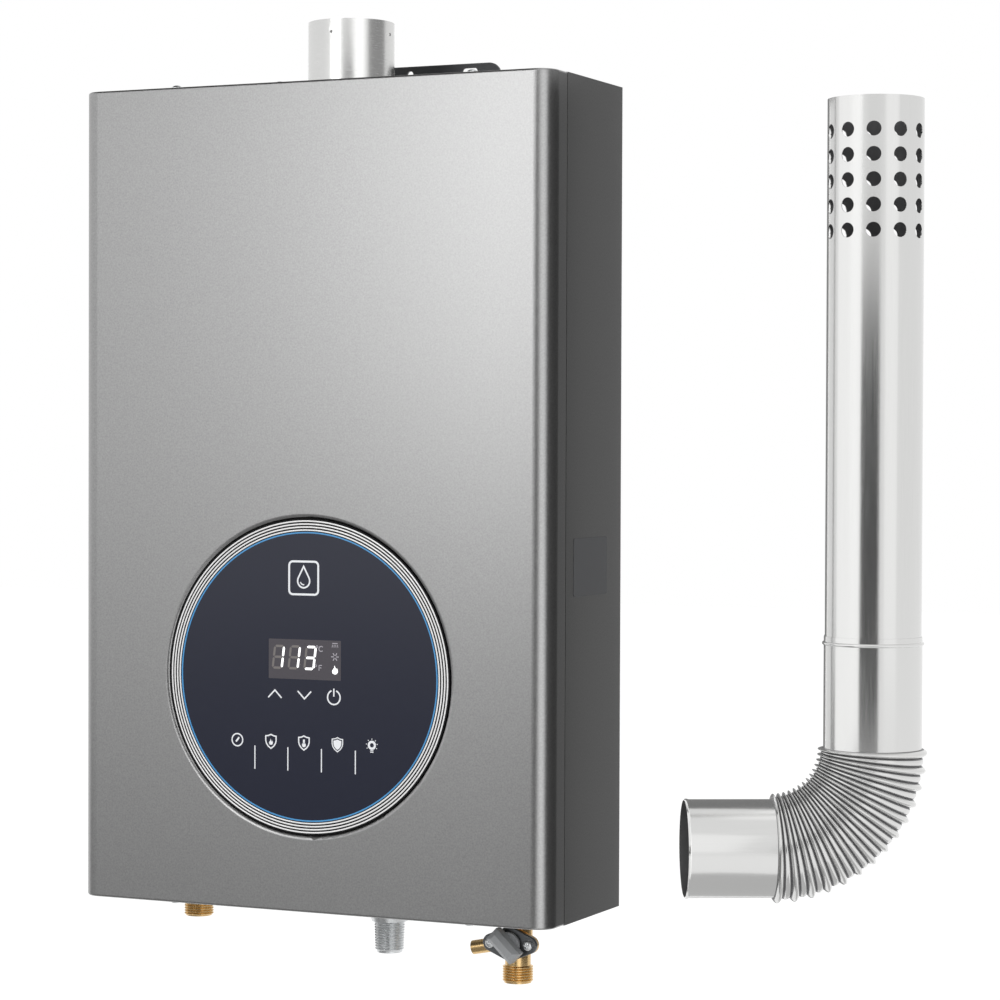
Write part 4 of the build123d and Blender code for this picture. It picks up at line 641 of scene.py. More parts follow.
def perforated_tube_tree():
    """A thin tube that stands on height 0, with rows of round holes near its upper end."""
    tree, start, end = new_tree("perforated_tube", [
        ("Radius", "Float"), ("Wall", "Float"), ("Length", "Float"), ("Rows", "Int"), ("Holes", "Int"),
        ("Hole radius", "Float"), ("Pitch", "Float"), ("First row", "Float"), ("Turn", "Float"),
        ("Finish", "Material"),
    ])
    given = start.outputs
    half = add(tree, "ShaderNodeMath", {"operation": "MULTIPLY"}, {0: given["Length"], 1: 0.5})
    up = add(tree, "ShaderNodeCombineXYZ", {}, {"Z": half.outputs[0]})
    outer = add(tree, "GeometryNodeMeshCylinder", {}, {
        "Vertices": ROUND, "Radius": given["Radius"], "Depth": given["Length"],
    })
    bore = add(tree, "ShaderNodeMath", {"operation": "SUBTRACT"}, {0: given["Radius"], 1: given["Wall"]})
    past = add(tree, "ShaderNodeMath", {"operation": "MULTIPLY"}, {0: given["Length"], 1: PAST_ENDS})
    inner = add(tree, "GeometryNodeMeshCylinder", {}, {
        "Vertices": ROUND, "Radius": bore.outputs[0], "Depth": past.outputs[0],
    })
    ring = add(tree, "GeometryNodeMeshCircle", {}, {"Vertices": given["Holes"], "Radius": given["Radius"]})
    spot = add(tree, "GeometryNodeInputPosition", {}, {})
    outwards = add(tree, "FunctionNodeAlignRotationToVector", {"axis": "Z"}, {"Vector": spot.outputs[0]})
    depth = add(tree, "ShaderNodeMath", {"operation": "MULTIPLY"}, {0: given["Wall"], 1: PUNCH_DEPTH})
    punch = add(tree, "GeometryNodeMeshCylinder", {}, {
        "Vertices": HOLE_ROUND, "Radius": given["Hole radius"], "Depth": depth.outputs[0],
    })
    row = add(tree, "GeometryNodeInstanceOnPoints", {}, {
        "Points": ring.outputs["Mesh"], "Instance": punch.outputs["Mesh"],
        "Rotation": outwards.outputs["Rotation"],
    })
    first = add(tree, "ShaderNodeMath", {"operation": "SUBTRACT"}, {
        0: half.outputs[0], 1: given["First row"],
    })
    first_place = add(tree, "ShaderNodeCombineXYZ", {}, {"Z": first.outputs[0]})
    step = add(tree, "ShaderNodeMath", {"operation": "MULTIPLY"}, {0: given["Pitch"], 1: -1.0})
    step_place = add(tree, "ShaderNodeCombineXYZ", {}, {"Z": step.outputs[0]})
    line = add(tree, "GeometryNodeMeshLine", {}, {
        "Count": given["Rows"], "Start Location": first_place.outputs[0], "Offset": step_place.outputs[0],
    })
    spin = add(tree, "ShaderNodeCombineXYZ", {}, {"Z": given["Turn"]})
    turn = add(tree, "FunctionNodeEulerToRotation", {}, {"Euler": spin.outputs[0]})
    rows = add(tree, "GeometryNodeInstanceOnPoints", {}, {
        "Points": line.outputs["Mesh"], "Instance": row.outputs["Instances"],
        "Rotation": turn.outputs["Rotation"],
    })
    punches = add(tree, "GeometryNodeRealizeInstances", {}, {"Geometry": rows.outputs["Instances"]})
    bored = add(tree, "GeometryNodeMeshBoolean", {"operation": "DIFFERENCE", "solver": "EXACT"}, {
        "Mesh 1": outer.outputs["Mesh"], "Mesh 2": inner.outputs["Mesh"],
    })
    holed = add(tree, "GeometryNodeMeshBoolean", {"operation": "DIFFERENCE", "solver": "EXACT"}, {
        "Mesh 1": bored.outputs["Mesh"], "Mesh 2": punches.outputs["Geometry"],
    })
    lifted = add(tree, "GeometryNodeTransform", {}, {
        "Geometry": holed.outputs["Mesh"], "Translation": up.outputs[0],
    })
    real = add(tree, "GeometryNodeRealizeInstances", {}, {"Geometry": lifted.outputs["Geometry"]})
    painted = add(tree, "GeometryNodeSetMaterial", {}, {
        "Geometry": real.outputs["Geometry"], "Material": given["Finish"],
    })
    tree.links.new(painted.outputs["Geometry"], end.inputs["Geometry"])
    return tree


def ribbed_elbow_tree():
    """A right-angled bend that falls from the origin and turns to -X, with large and small ribs."""
    tree, start, end = new_tree("ribbed_elbow", [
        ("Bend radius", "Float"), ("Pipe radius", "Float"), ("Ribs", "Int"), ("Rib", "Float"),
        ("Small rib", "Float"), ("Finish", "Material"),
    ])
    given = start.outputs
    count = add(tree, "ShaderNodeMath", {"operation": "MULTIPLY_ADD"}, {
        0: given["Ribs"], 1: RIB_STEPS, 2: 1.0,
    })
    arc = add(tree, "GeometryNodeCurveArc", {"mode": "RADIUS"}, {
        "Resolution": count.outputs[0], "Radius": given["Bend radius"], "Start Angle": 0.0,
        "Sweep Angle": -math.pi / 2,
    })
    along = add(tree, "GeometryNodeSplineParameter", {}, {})
    phase = add(tree, "ShaderNodeMath", {"operation": "MULTIPLY"}, {
        0: along.outputs["Factor"], 1: given["Ribs"],
    })
    share = add(tree, "ShaderNodeMath", {"operation": "FRACT"}, {0: phase.outputs[0]})
    angle = add(tree, "ShaderNodeMath", {"operation": "MULTIPLY"}, {0: share.outputs[0], 1: math.pi})
    wave = add(tree, "ShaderNodeMath", {"operation": "SINE"}, {0: angle.outputs[0]})
    crest = add(tree, "ShaderNodeMath", {"operation": "POWER"}, {0: wave.outputs[0], 1: RIB_POWER})
    number = add(tree, "ShaderNodeMath", {"operation": "FLOOR"}, {0: phase.outputs[0]})
    odd = add(tree, "ShaderNodeMath", {"operation": "MODULO"}, {0: number.outputs[0], 1: 2.0})
    height = add(tree, "ShaderNodeMix", {"data_type": "FLOAT"}, {
        0: odd.outputs[0], 2: given["Rib"], 3: given["Small rib"],
    })
    radius = add(tree, "ShaderNodeMath", {"operation": "MULTIPLY_ADD"}, {
        0: crest.outputs[0], 1: height.outputs[0], 2: given["Pipe radius"],
    })
    hoop = add(tree, "GeometryNodeCurvePrimitiveCircle", {}, {"Resolution": HOOP_ROUND, "Radius": 1.0})
    swept = add(tree, "GeometryNodeCurveToMesh", {}, {
        "Curve": arc.outputs["Curve"], "Profile Curve": hoop.outputs["Curve"], "Scale": radius.outputs[0],
    })
    back = add(tree, "ShaderNodeMath", {"operation": "MULTIPLY"}, {0: given["Bend radius"], 1: -1.0})
    place = add(tree, "ShaderNodeCombineXYZ", {}, {"X": back.outputs[0]})
    stood = add(tree, "GeometryNodeTransform", {}, {
        "Geometry": swept.outputs["Mesh"], "Translation": place.outputs[0],
        "Rotation": (math.pi / 2, 0, 0),
    })
    real = add(tree, "GeometryNodeRealizeInstances", {}, {"Geometry": stood.outputs["Geometry"]})
    painted = add(tree, "GeometryNodeSetMaterial", {}, {
        "Geometry": real.outputs["Geometry"], "Material": given["Finish"],
    })
    tree.links.new(painted.outputs["Geometry"], end.inputs["Geometry"])
    return tree


# Flat print for the panel, drawn in metres from the panel's centre

def arc_points(centre, radius, start, stop, steps):
    """Points on an arc, in degrees from the right, anticlockwise."""
    turns = [math.radians(start + (stop - start) * i / steps) for i in range(steps + 1)]
    return [Vector((centre[0] + radius * math.cos(t), centre[1] + radius * math.sin(t))) for t in turns]


def stroke(points, width, closed=False):
    """Quads of an even line along points, with mitred corners."""
    points = [Vector(point) for point in points]
    count = len(points)
    sides = []
    for i, point in enumerate(points):
        before = points[i - 1] if closed or i else None
        after = points[(i + 1) % count] if closed or i < count - 1 else None
        ways = [way.normalized() for way in (
            point - before if before is not None else None,
            after - point if after is not None else None,
        ) if way is not None]
        normals = [Vector((-way.y, way.x)) for way in ways]
        mitre = sum(normals, Vector((0, 0))).normalized()
        reach = width / 2 / max(0.35, mitre.dot(normals[0]))
        sides.append((point + mitre * reach, point - mitre * reach))
    last = count if closed else count - 1
    quads = []
    for i in range(last):
        left, right = sides[i]
        far_left, far_right = sides[(i + 1) % count]
        quads.append([left, right, far_right, far_left])
    return quads


def rounded_frame(centre, width, height, corner):
    """Points of a rectangle with round corners."""
    points = []
    for x, y, start in ((1, 1, 0), (-1, 1, 90), (-1, -1, 180), (1, -1, 270)):
        spot = (centre[0] + x * (width / 2 - corner), centre[1] + y * (height / 2 - corner))
        points += arc_points(spot, corner, start, start + 90, 6)
    return points


def drop_points(centre, size):
    """A water drop with its tip up."""
    round_end = arc_points((centre[0], centre[1] - size * 0.18), size * 0.32, 150, 390, 24)
    return round_end + [Vector((centre[0], centre[1] + size * 0.5))]


def flame_points(centre, size):
    """A small flame with a tall and a short tongue."""
    shape = (
        (0.0, -0.5), (0.24, -0.43), (0.38, -0.22), (0.35, 0.02), (0.22, 0.24), (0.18, 0.06), (0.1, 0.02),
        (0.06, 0.28), (-0.08, 0.5), (-0.1, 0.24), (-0.26, 0.04), (-0.36, -0.16), (-0.28, -0.4),
    )
    return [Vector((centre[0] + x * size, centre[1] + y * size)) for x, y in shape]


def shield_points(centre, size):
    """A shield: a raised top edge and sides that curve to a point."""
    half = [(0.0, 0.5), (0.2, 0.41), (0.42, 0.38), (0.42, 0.05), (0.36, -0.15), (0.22, -0.34), (0.0, -0.5)]
    shape = half + [(-x, y) for x, y in reversed(half[1:-1])]
    return [Vector((centre[0] + x * size, centre[1] + y * size)) for x, y in shape]


def digit_segments(centre, width, height, bar):
    """Seven leaning display segments of one digit, from the top one round to the middle one."""
    x, y = width / 2 - bar / 2, height / 2 - bar / 2
    ends = (
        ((-x, y), (x, y)), ((x, y), (x, 0)), ((x, 0), (x, -y)), ((-x, -y), (x, -y)),
        ((-x, -y), (-x, 0)), ((-x, 0), (-x, y)), ((-x, 0), (x, 0)),
    )
    segments = []
    for first, second in ends:
        first, second = Vector(first), Vector(second)
        way = (second - first).normalized()
        side = Vector((-way.y, way.x)) * bar / 2
        first, second = first + way * bar * 0.18, second - way * bar * 0.18
        hexagon = [
            first, first + way * bar / 2 + side, second - way * bar / 2 + side,
            second, second - way * bar / 2 - side, first + way * bar / 2 - side,
        ]
        lean = math.tan(math.radians(7))
        segments.append([
            Vector((centre[0] + p.x + p.y * lean, centre[1] + p.y)) for p in hexagon
        ])
    return segments


LIT = {"1": (1, 2), "3": (0, 1, 2, 3, 6)}


def display_print():
    """Polygons of the display: unlit and lit segments, units and small signs, by finish."""
    ghost, lit, dim = [], [], []
    for digit, x in zip("113", (-22.4, -10.1, 2.1)):
        segments = digit_segments((x * MM, 13.0 * MM), 8.6 * MM, 16.5 * MM, 1.6 * MM)
        for number, segment in enumerate(segments):
            (lit if number in LIT[digit] else ghost).append(segment)
    line = 0.55 * MM
    for x, y in ((7.4, 20.8), (6.4, 7.9)):
        dim += stroke(arc_points((x * MM, y * MM), 0.7 * MM, 0, 360, 12), 0.4 * MM)
    dim += stroke(arc_points((10.6 * MM, 19.4 * MM), 1.7 * MM, 45, 315, 14), line)
    dim += stroke([(9.0 * MM, 8.4 * MM), (9.0 * MM, 4.6 * MM)], line)
    dim += stroke([(8.8 * MM, 8.2 * MM), (11.2 * MM, 8.2 * MM)], line)
    dim += stroke([(8.8 * MM, 6.5 * MM), (10.8 * MM, 6.5 * MM)], line)
    sign_x = 21.2 * MM
    dim += stroke([(sign_x - 2.0 * MM, 23.4 * MM), (sign_x + 2.0 * MM, 23.4 * MM)], line)
    for step in (-1.8, -0.6, 0.6, 1.8):
        dim += stroke([(sign_x + step * MM, 22.5 * MM), (sign_x + step * 1.25 * MM, 20.6 * MM)], 0.4 * MM)
    for turn in range(0, 360, 60):
        hub = Vector((sign_x, 14.3 * MM))
        way = Vector((math.cos(math.radians(turn)), math.sin(math.radians(turn))))
        dim += stroke([hub + way * 0.9 * MM, hub + way * 2.9 * MM], 0.6 * MM)
    lit.append(flame_points((sign_x, 5.4 * MM), 6.0 * MM))
    return ghost, lit, dim


def key_print():
    """Polygons of the touch keys' signs and of the drop sign above the display."""
    line = 1.0 * MM
    shapes = []
    for x, way in ((-25.1, 1), (-2.2, -1)):
        tip = Vector((x * MM, -12.4 * MM + way * 2.6 * MM))
        foot = -12.4 * MM - way * 2.6 * MM
        shapes += stroke([(tip.x - 5.2 * MM, foot), tip, (tip.x + 5.2 * MM, foot)], line)
    power = (20.4 * MM, -13.2 * MM)
    shapes += stroke(arc_points(power, 4.8 * MM, 112, 428, 40), line)
    shapes += stroke([(power[0], power[1] + 0.6 * MM), (power[0], power[1] + 6.0 * MM)], line)
    sign = (-3.0 * MM, 67.2 * MM)
    shapes += stroke(rounded_frame(sign, 22.4 * MM, 22.4 * MM, 2.8 * MM), 1.4 * MM, closed=True)
    shapes += stroke(drop_points((sign[0], sign[1] + 0.6 * MM), 14.5 * MM), 1.1 * MM, closed=True)
    shapes += stroke(arc_points((sign[0], sign[1] - 2.0 * MM), 2.6 * MM, 200, 280, 8), 0.8 * MM)
    return shapes


def feature_print():
    """Polygons of the row of five small signs and the lines between them."""
    line = 0.9 * MM
    row = -45.1 * MM
    size = 9.6 * MM
    shapes = []
    for x in (-40.6, -14.9, 11.0, 36.9):
        shapes += stroke([(x * MM, -64.5 * MM), (x * MM, -48.5 * MM)], 0.8 * MM)
    gauge = (-54.4 * MM, row)
    shapes += stroke(arc_points(gauge, 4.2 * MM, 0, 360, 32), line)
    needle = [(gauge[0] - 1.1 * MM, row - 1.3 * MM), (gauge[0] + 1.4 * MM, row + 1.7 * MM)]
    shapes += stroke(needle, 1.2 * MM)
    for x in (-28.1, -2.5):
        shapes += stroke(shield_points((x * MM, row), size), line, closed=True)
    shapes.append(flame_points((-28.1 * MM, row - 0.3 * MM), 4.2 * MM))
    shapes += stroke([(-2.5 * MM, row - 0.5 * MM), (-2.5 * MM, row + 2.4 * MM)], 1.5 * MM)
    shapes.append(arc_points((-2.5 * MM, row - 1.4 * MM), 1.5 * MM, 0, 345, 16))
    shapes += stroke(shield_points((23.2 * MM, row), size), 0.7 * MM, closed=True)
    shapes.append(shield_points((23.2 * MM, row), size * 0.74))
    bulb = (49.4 * MM, row + 0.8 * MM)
    shapes += stroke(arc_points(bulb, 2.3 * MM, 0, 360, 24), 1.6 * MM)
    for step in (-3.7, -4.7):
        rung = bulb[1] + step * MM
        shapes += stroke([(bulb[0] - 1.2 * MM, rung), (bulb[0] + 1.2 * MM, rung)], 0.6 * MM)
    for turn in range(-30, 211, 40):
        way = Vector((math.cos(math.radians(turn)), math.sin(math.radians(turn))))
        shapes += stroke([Vector(bulb) + way * 3.7 * MM, Vector(bulb) + way * 4.5 * MM], 0.5 * MM)
    return shapes


def print_mesh(name, layers, thickness):
    """Flat shapes as thin films: each layer is its polygons, its height off the glass and a number."""
    glass = middle("panel_glass")
    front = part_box("panel_glass")[0].y
    form = bmesh.new()
    for polygons, lift, number in layers:
        for polygon in polygons:
            spots = [(glass.x + p[0], front - lift, glass.z + p[1]) for p in polygon]
            face = form.faces.new([form.verts.new(spot) for spot in spots])
            face.normal_update()
            if face.normal.y > 0:
                face.normal_flip()
            face.material_index = number
    mesh = bpy.data.meshes.new(name)
    form.to_mesh(mesh)
    form.free()
    return plain_mesh(name, mesh, [("SOLIDIFY", {"thickness": thickness, "offset": -1.0})])


# Operators, one for each piece or group of like pieces

class HEATER_OT_cabinet(bpy.types.Operator):
    """Make the painted cover and case and the side label."""

    bl_idname = "heater.cabinet"
    bl_label = "Cabinet"

    def execute(self, context):
        settings = context.scene.heater_cabinet
        finish = finishes(context.scene)
        paint_node("front_cover", finish["cover_paint"])
        for node in ("rear_case", "case_top", "case_floor"):
            sheet = rounded_copy(node, settings.edge)
            add_piece(node + "_sheet", sheet, [node], [finish["case_paint"]])
        low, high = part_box("rating_plate")
        centre = (low + high) / 2
        width, height = high.y - low.y, high.z - low.z
        outline = rounded_frame((centre.y, centre.z), width, height, settings.label_corner)
        loops = [[Vector((x, p.x, p.y)) for p in outline] for x in (low.x, high.x)]
        label = skin("side_label", loops, False)
        with editing(label) as form:
            bmesh.ops.holes_fill(form, edges=form.edges)
            bmesh.ops.recalc_face_normals(form, faces=form.faces)
        add_piece("side_label", label, ["rating_plate"], [finish["label_film"]])
        return {"FINISHED"}


class HEATER_OT_brackets(bpy.types.Operator):
    """Make the two wall brackets."""

    bl_idname = "heater.brackets"
    bl_label = "Wall brackets"

    def execute(self, context):
        settings = context.scene.heater_cabinet
        finish = finishes(context.scene)
        for node in ("wall_bracket", "lower_bracket"):
            plate = rounded_copy(node, settings.edge)
            add_piece(node + "_plate", plate, [node], [finish["dark_steel"]])
        return {"FINISHED"}


class HEATER_OT_collar(bpy.types.Operator):
    """Make the flue collar on the cabinet's top."""

    bl_idname = "heater.collar"
    bl_label = "Flue collar"

    def execute(self, context):
        settings = context.scene.heater_cabinet
        steel = brushed_stainless(context.scene.heater_pipe.steel_colour)
        collar = rounded_copy("flue_collar", settings.edge / 2)
        add_piece("flue_collar_sheet", collar, ["flue_collar"], [steel])
        return {"FINISHED"}


class HEATER_OT_screws(bpy.types.Operator):
    """Set the pan-head screws in the cover, the collar and the drain valve."""

    bl_idname = "heater.screws"
    bl_label = "Screws"

    def screw(self, settings, washer):
        """A cross-head screw whose seat is at height 0."""
        lift = settings.washer_height if washer else 0.0
        radius = settings.screw_radius
        height = settings.screw_height
        crown = [(radius * math.sin(t), lift + height * (CROWN_FOOT + CROWN_RISE * math.cos(t)))
                 for t in [math.pi / 2 * i / CREST_STEPS for i in range(CREST_STEPS + 1)]]
        pin = 0.02 * radius
        outline = [(pin, lift + height)] + crown[1:] + [(radius, lift)]
        if washer:
            outline += [(settings.washer_radius, lift), (settings.washer_radius, 0.0)]
        outline += [(pin, 0.0)]
        head = lathe("screw", outline, Matrix(), SCREW_ROUND)
        with editing(head) as form:
            bmesh.ops.holes_fill(form, edges=form.edges)
        slot_length, slot_width, slot_height = radius * 1.25, radius * 0.3, height * 0.9
        cross = bmesh.new()
        for turn in (0, 90):
            place = Matrix.Rotation(math.radians(turn), 4, "Z") @ Matrix.Translation((0, 0, lift + height))
            size = Matrix.Diagonal((slot_length, slot_width, slot_height, 1))
            bmesh.ops.create_cube(cross, size=1.0, matrix=place @ size)
        cutter = bpy.data.meshes.new("cross")
        cross.to_mesh(cutter)
        cross.free()
        tool = new_object("cross", cutter)
        made = plain_mesh("screw", head, [("BOOLEAN", {
            "object": tool, "operation": "DIFFERENCE", "solver": "EXACT", "use_self": True,
        })])
        bpy.data.objects.remove(tool)
        return shade(made, 40)

    def seats(self, node):
        """Middle, lowest corner and highest corner of each loose solid of a node, in the node's order."""
        form = bmesh.new()
        form.from_mesh(frame["nodes"][node].data)
        bmesh.ops.remove_doubles(form, verts=form.verts, dist=CAD_WELD)
        left = set(form.verts)
        spots = []
        for first in form.verts:
            if first not in left:
                continue
            left.discard(first)
            group, queue = [], [first]
            while queue:
                vert = queue.pop()
                group.append(vert)
                for edge in vert.link_edges:
                    other = edge.other_vert(vert)
                    if other in left:
                        left.discard(other)
                        queue.append(other)
            corners = [vert.co for vert in group]
            low = Vector([min(c[i] for c in corners) for i in range(3)])
            high = Vector([max(c[i] for c in corners) for i in range(3)])
            spots.append(((low + high) / 2, low, high))
        form.free()
        return spots

    def execute(self, context):
        settings = context.scene.heater_fittings
        finish = finishes(context.scene)["zinc_steel"]
        tree = screw_tree()
        washer_top = settings.washer_height + settings.screw_height
        cabinet_middle = middle("front_cover").z
        for node, washer in (("cover_screws", True), ("flue_screws", False), ("flange_screws", False)):
            places = []
            facings = []
            for centre, low, high in self.seats(node):
                if node == "flange_screws":
                    facings.append((0, -1, 0))
                    places.append((centre.x, low.y + settings.screw_height, centre.z))
                elif centre.z > cabinet_middle:
                    facings.append((0, 0, 1))
                    top = washer_top if washer else settings.screw_height
                    places.append((centre.x, centre.y, high.z - top))
                else:
                    facings.append((0, 0, -1))
                    places.append((centre.x, centre.y, low.z + washer_top))
            points = bpy.data.meshes.new("screw_places")
            points.from_pydata(places, [], [])
            layer = points.attributes.new("facing", "FLOAT_VECTOR", "POINT")
            layer.data.foreach_set("vector", [share for facing in facings for share in facing])
            spots = new_object("screw_places", points)
            master = new_object("screw_master", self.screw(settings, washer))
            heads = grown_mesh(node, tree, {"Places": spots, "Screw": master, "Finish": finish})
            bpy.data.objects.remove(spots)
            bpy.data.objects.remove(master)
            add_piece(node + "_heads", heads, [node], [finish])
        return {"FINISHED"}


class HEATER_OT_panel(bpy.types.Operator):
    """Make the round panel: its grooved bezel, its glass and the accent ring."""

    bl_idname = "heater.panel"
    bl_label = "Control panel"

    def execute(self, context):
        settings = context.scene.heater_panel
        finish = finishes(context.scene)
        paint_node("panel_glass", finish["panel_glass"])
        paint_node("panel_accent_ring", finish["accent_blue"])
        low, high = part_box("panel_bezel")
        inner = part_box("panel_accent_ring")[1].x - middle("panel_accent_ring").x
        outer = high.x - middle("panel_bezel").x
        depth = settings.relief
        flank = 0.6 * depth
        # Slot 0 is near-white chrome that paints the ridges' highlight; slot 1 is black paint that paints
        # the shade in the grooves.
        bright, dark = 0, 1
        outline = []
        band_slots = []
        for i in range(settings.ridges):
            start = inner + 0.7 * settings.groove + i * (settings.ridge + settings.groove)
            outline.append((start, depth))
            band_slots.append(bright)
            for step in range(CREST_STEPS + 1):
                turn = math.pi * step / CREST_STEPS
                across = settings.ridge * (1 - math.cos(turn)) / 2
                outline.append((start + across, flank * (1 - math.sin(turn))))
                band_slots.append(bright)
            outline.append((start + settings.ridge, depth))
            band_slots.append(dark)
        back = high.y - low.y
        # The outer band and the ring's back take the black paint: painted shade round the bezel.
        outline += [(outer, depth), (outer, back), (inner, back), (inner, depth)]
        band_slots += [dark] * 4
        centre = middle("panel_bezel")
        place = Matrix.Translation((centre.x, low.y, centre.z)) @ Matrix.Rotation(-math.pi / 2, 4, "X")
        ring = shade(lathe("panel_bezel_ring", outline, place, BEZEL_ROUND, band_slots), 60)
        add_piece("panel_bezel_ring", ring, ["panel_bezel"], [finish["chrome_trim"], painted_groove_shade()])
        return {"FINISHED"}


class HEATER_OT_print(bpy.types.Operator):
    """Print the display and the white signs on the panel's glass."""

    bl_idname = "heater.print"
    bl_label = "Panel print"

    def execute(self, context):
        settings = context.scene.heater_panel
        window = rounded_frame((-2.1 * MM, 11.75 * MM), 55.6 * MM, 27.1 * MM, 0.6 * MM)
        ghost, lit, dim = display_print()
        ink = settings.ink
        layers = [
            ([window], ink, 0), (ghost, 2 * ink, 1), (dim, 2 * ink, 2), (lit, 2 * ink, 3),
            (key_print() + feature_print(), ink, 4),
        ]
        printed = print_mesh("panel_print", layers, ink)
        materials = [
            screen_ink("display_window", settings.window_colour, 0.0),
            screen_ink("unlit_segments", settings.ghost_colour, 0.0),
            screen_ink("dim_segments", linear("#A9A6AD"), 0.15),
            screen_ink("lit_segments", linear("#FFFFFF"), 0.9),
            screen_ink("white_ink", settings.ink_colour, 0.1),
        ]
        add_piece("panel_print", printed, ["panel_glass"], materials, stands_for_nodes=False)
        return {"FINISHED"}


class HEATER_OT_ports(bpy.types.Operator):
    """Make the water and gas ports, the cord gland and the drain valve."""

    bl_idname = "heater.ports"
    bl_label = "Ports and drain valve"

    def execute(self, context):
        settings = context.scene.heater_fittings
        finish = finishes(context.scene)
        for node in (
            "hot_outlet", "gas_inlet", "inlet_valve_body", "drain_spout", "valve_flange", "power_gland",
        ):
            made = rounded_copy(node, settings.edge / 2)
            add_piece(node + "_fitting", made, [node], [finish[SLOT_OF[node]]])
        knob = rounded_copy("drain_knob", settings.edge * 2)
        add_piece("drain_knob_bar", knob, ["drain_knob"], [finish["grey_plastic"]])
        return {"FINISHED"}


class HEATER_OT_flue_pipe(bpy.types.Operator):
    """Make the separate flue pipe: socket, ribbed elbow, sleeve and perforated tube."""

    bl_idname = "heater.flue_pipe"
    bl_label = "Flue pipe"

    def execute(self, context):
        settings = context.scene.heater_pipe
        finish = finishes(context.scene)["stainless"]
        # The dark dull steel of the bores is painted shade inside the pipe.
        inside = dull_shaded_stainless("shaded_bore", linear("#5F5F60"))
        # The ribs' valleys take a darker dull steel: painted shade between the ribs.
        valley = dull_shaded_stainless("shaded_valley_steel", linear("#929293"))
        out = Vector(MOUNT["flue_pipe_socket"]["axis"])
        turn = Matrix.Rotation(math.atan2(-out.y, -out.x), 4, "Z")
        sleeve_low, sleeve_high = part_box("flue_sleeve")
        axis = middle("flue_tube")
        place = Matrix.Translation((axis.x, axis.y, sleeve_low.z)) @ turn
        inner = MOUNT["flue_pipe_socket"]["dims"]["r_mm"] * MM
        outer = inner + settings.wall
        length = MOUNT["flue_pipe_socket"]["dims"]["length_mm"] * MM
        bend = sleeve_low.z - MOUNT["flue_pipe_socket"]["pos_m"][2]

        hem = 0.9 * MM
        swollen = outer + 0.4 * hem
        outline = [
            (inner, 0), (outer, 0), (outer, length - 3 * hem), (swollen, length - 2 * hem),
            (swollen, length - hem), (outer, length), (inner, length),
        ]
        lie = place @ Matrix.Translation((-bend, 0, -bend)) @ Matrix.Rotation(-math.pi / 2, 4, "Y")
        # The socket's bore takes the dark steel: painted shade inside the pipe.
        socket = lathe("flue_socket_cuff", outline, lie, ROUND, [0] * (len(outline) - 1) + [1])
        steel_across = polished_stainless("polished_stainless_across", settings.steel_colour, (60, 60, 1))
        add_piece("flue_socket_cuff", shade(socket, 50), ["flue_socket"], [steel_across, inside])

        elbow = grown_mesh("flue_elbow_bend", ribbed_elbow_tree(), {
            "Bend radius": bend, "Pipe radius": outer, "Ribs": settings.ribs, "Rib": settings.rib,
            "Small rib": settings.small_rib, "Finish": finish,
        })
        faced(elbow)
        # Faces low on a rib take the darker steel: painted shade in the valleys.
        for face in elbow.polygons:
            sideways = math.hypot(face.center.x + bend, face.center.z) - bend
            height = math.hypot(sideways, face.center.y) - outer
            face.material_index = 1 if height < settings.valley else 0
        elbow.transform(place)
        # The elbow's inner wall takes the dark steel: painted shade inside the pipe.
        elbow = plain_mesh("flue_elbow_bend", shade(elbow, 80), [
            ("SOLIDIFY", {"thickness": settings.wall, "offset": -1.0, "material_offset": 2}),
        ])
        add_piece("flue_elbow_bend", elbow, ["flue_elbow"], [finish, valley, inside, inside])

        rise = sleeve_high.z - sleeve_low.z
        bead = (sleeve_high.x - sleeve_low.x) / 2 - outer
        bead_up = rise - 4 * bead
        swell = [
            (outer + bead * math.sin(t), bead_up - bead * math.cos(t))
            for t in [math.pi * i / BEAD_STEPS for i in range(BEAD_STEPS + 1)]
        ]
        outline = [(inner, 0), (outer, 0)] + swell + [(outer, rise), (inner, rise)]
        # The sleeve's bore takes the dark steel: painted shade inside the pipe.
        sleeve = lathe("flue_sleeve_cuff", outline, place, ROUND, [0] * (len(outline) - 1) + [1])
        add_piece("flue_sleeve_cuff", shade(sleeve, 50), ["flue_sleeve"], [finish, inside])

        low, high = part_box("flue_tube")
        quarter = -math.pi / 2
        tube = grown_mesh("flue_tube_sheet", perforated_tube_tree(), {
            "Radius": (high.x - low.x) / 2, "Wall": settings.wall, "Length": high.z - low.z,
            "Rows": settings.rows, "Holes": settings.holes, "Hole radius": settings.hole,
            "Pitch": settings.hole_pitch, "First row": settings.hole_drop,
            "Turn": quarter + settings.hole_turn, "Finish": finish,
        })
        tube = shade(faced(tube), 40)
        # The tube's bore faces take the dark steel: painted shade inside the tube.
        for face in tube.polygons:
            outwards = Vector((face.center.x, face.center.y, 0)).normalized()
            face.material_index = 1 if face.normal.dot(outwards) < -0.5 else 0
        tube.transform(Matrix.Translation((axis.x, axis.y, low.z)))
        add_piece("flue_tube_sheet", tube, ["flue_tube"], [finish, inside])
        return {"FINISHED"}


class HEATER_OT_inside(bpy.types.Operator):
    """Give every CAD node that still shows, inside the cabinet too, its material."""

    bl_idname = "heater.inside"
    bl_label = "Inside"

    def execute(self, context):
        finish = finishes(context.scene)
        for node, made in frame["nodes"].items():
            if not made.hide_render and node not in ("front_cover", "panel_glass", "panel_accent_ring"):
                paint_node(node, finish[SLOT_OF[node]])
        return {"FINISHED"}


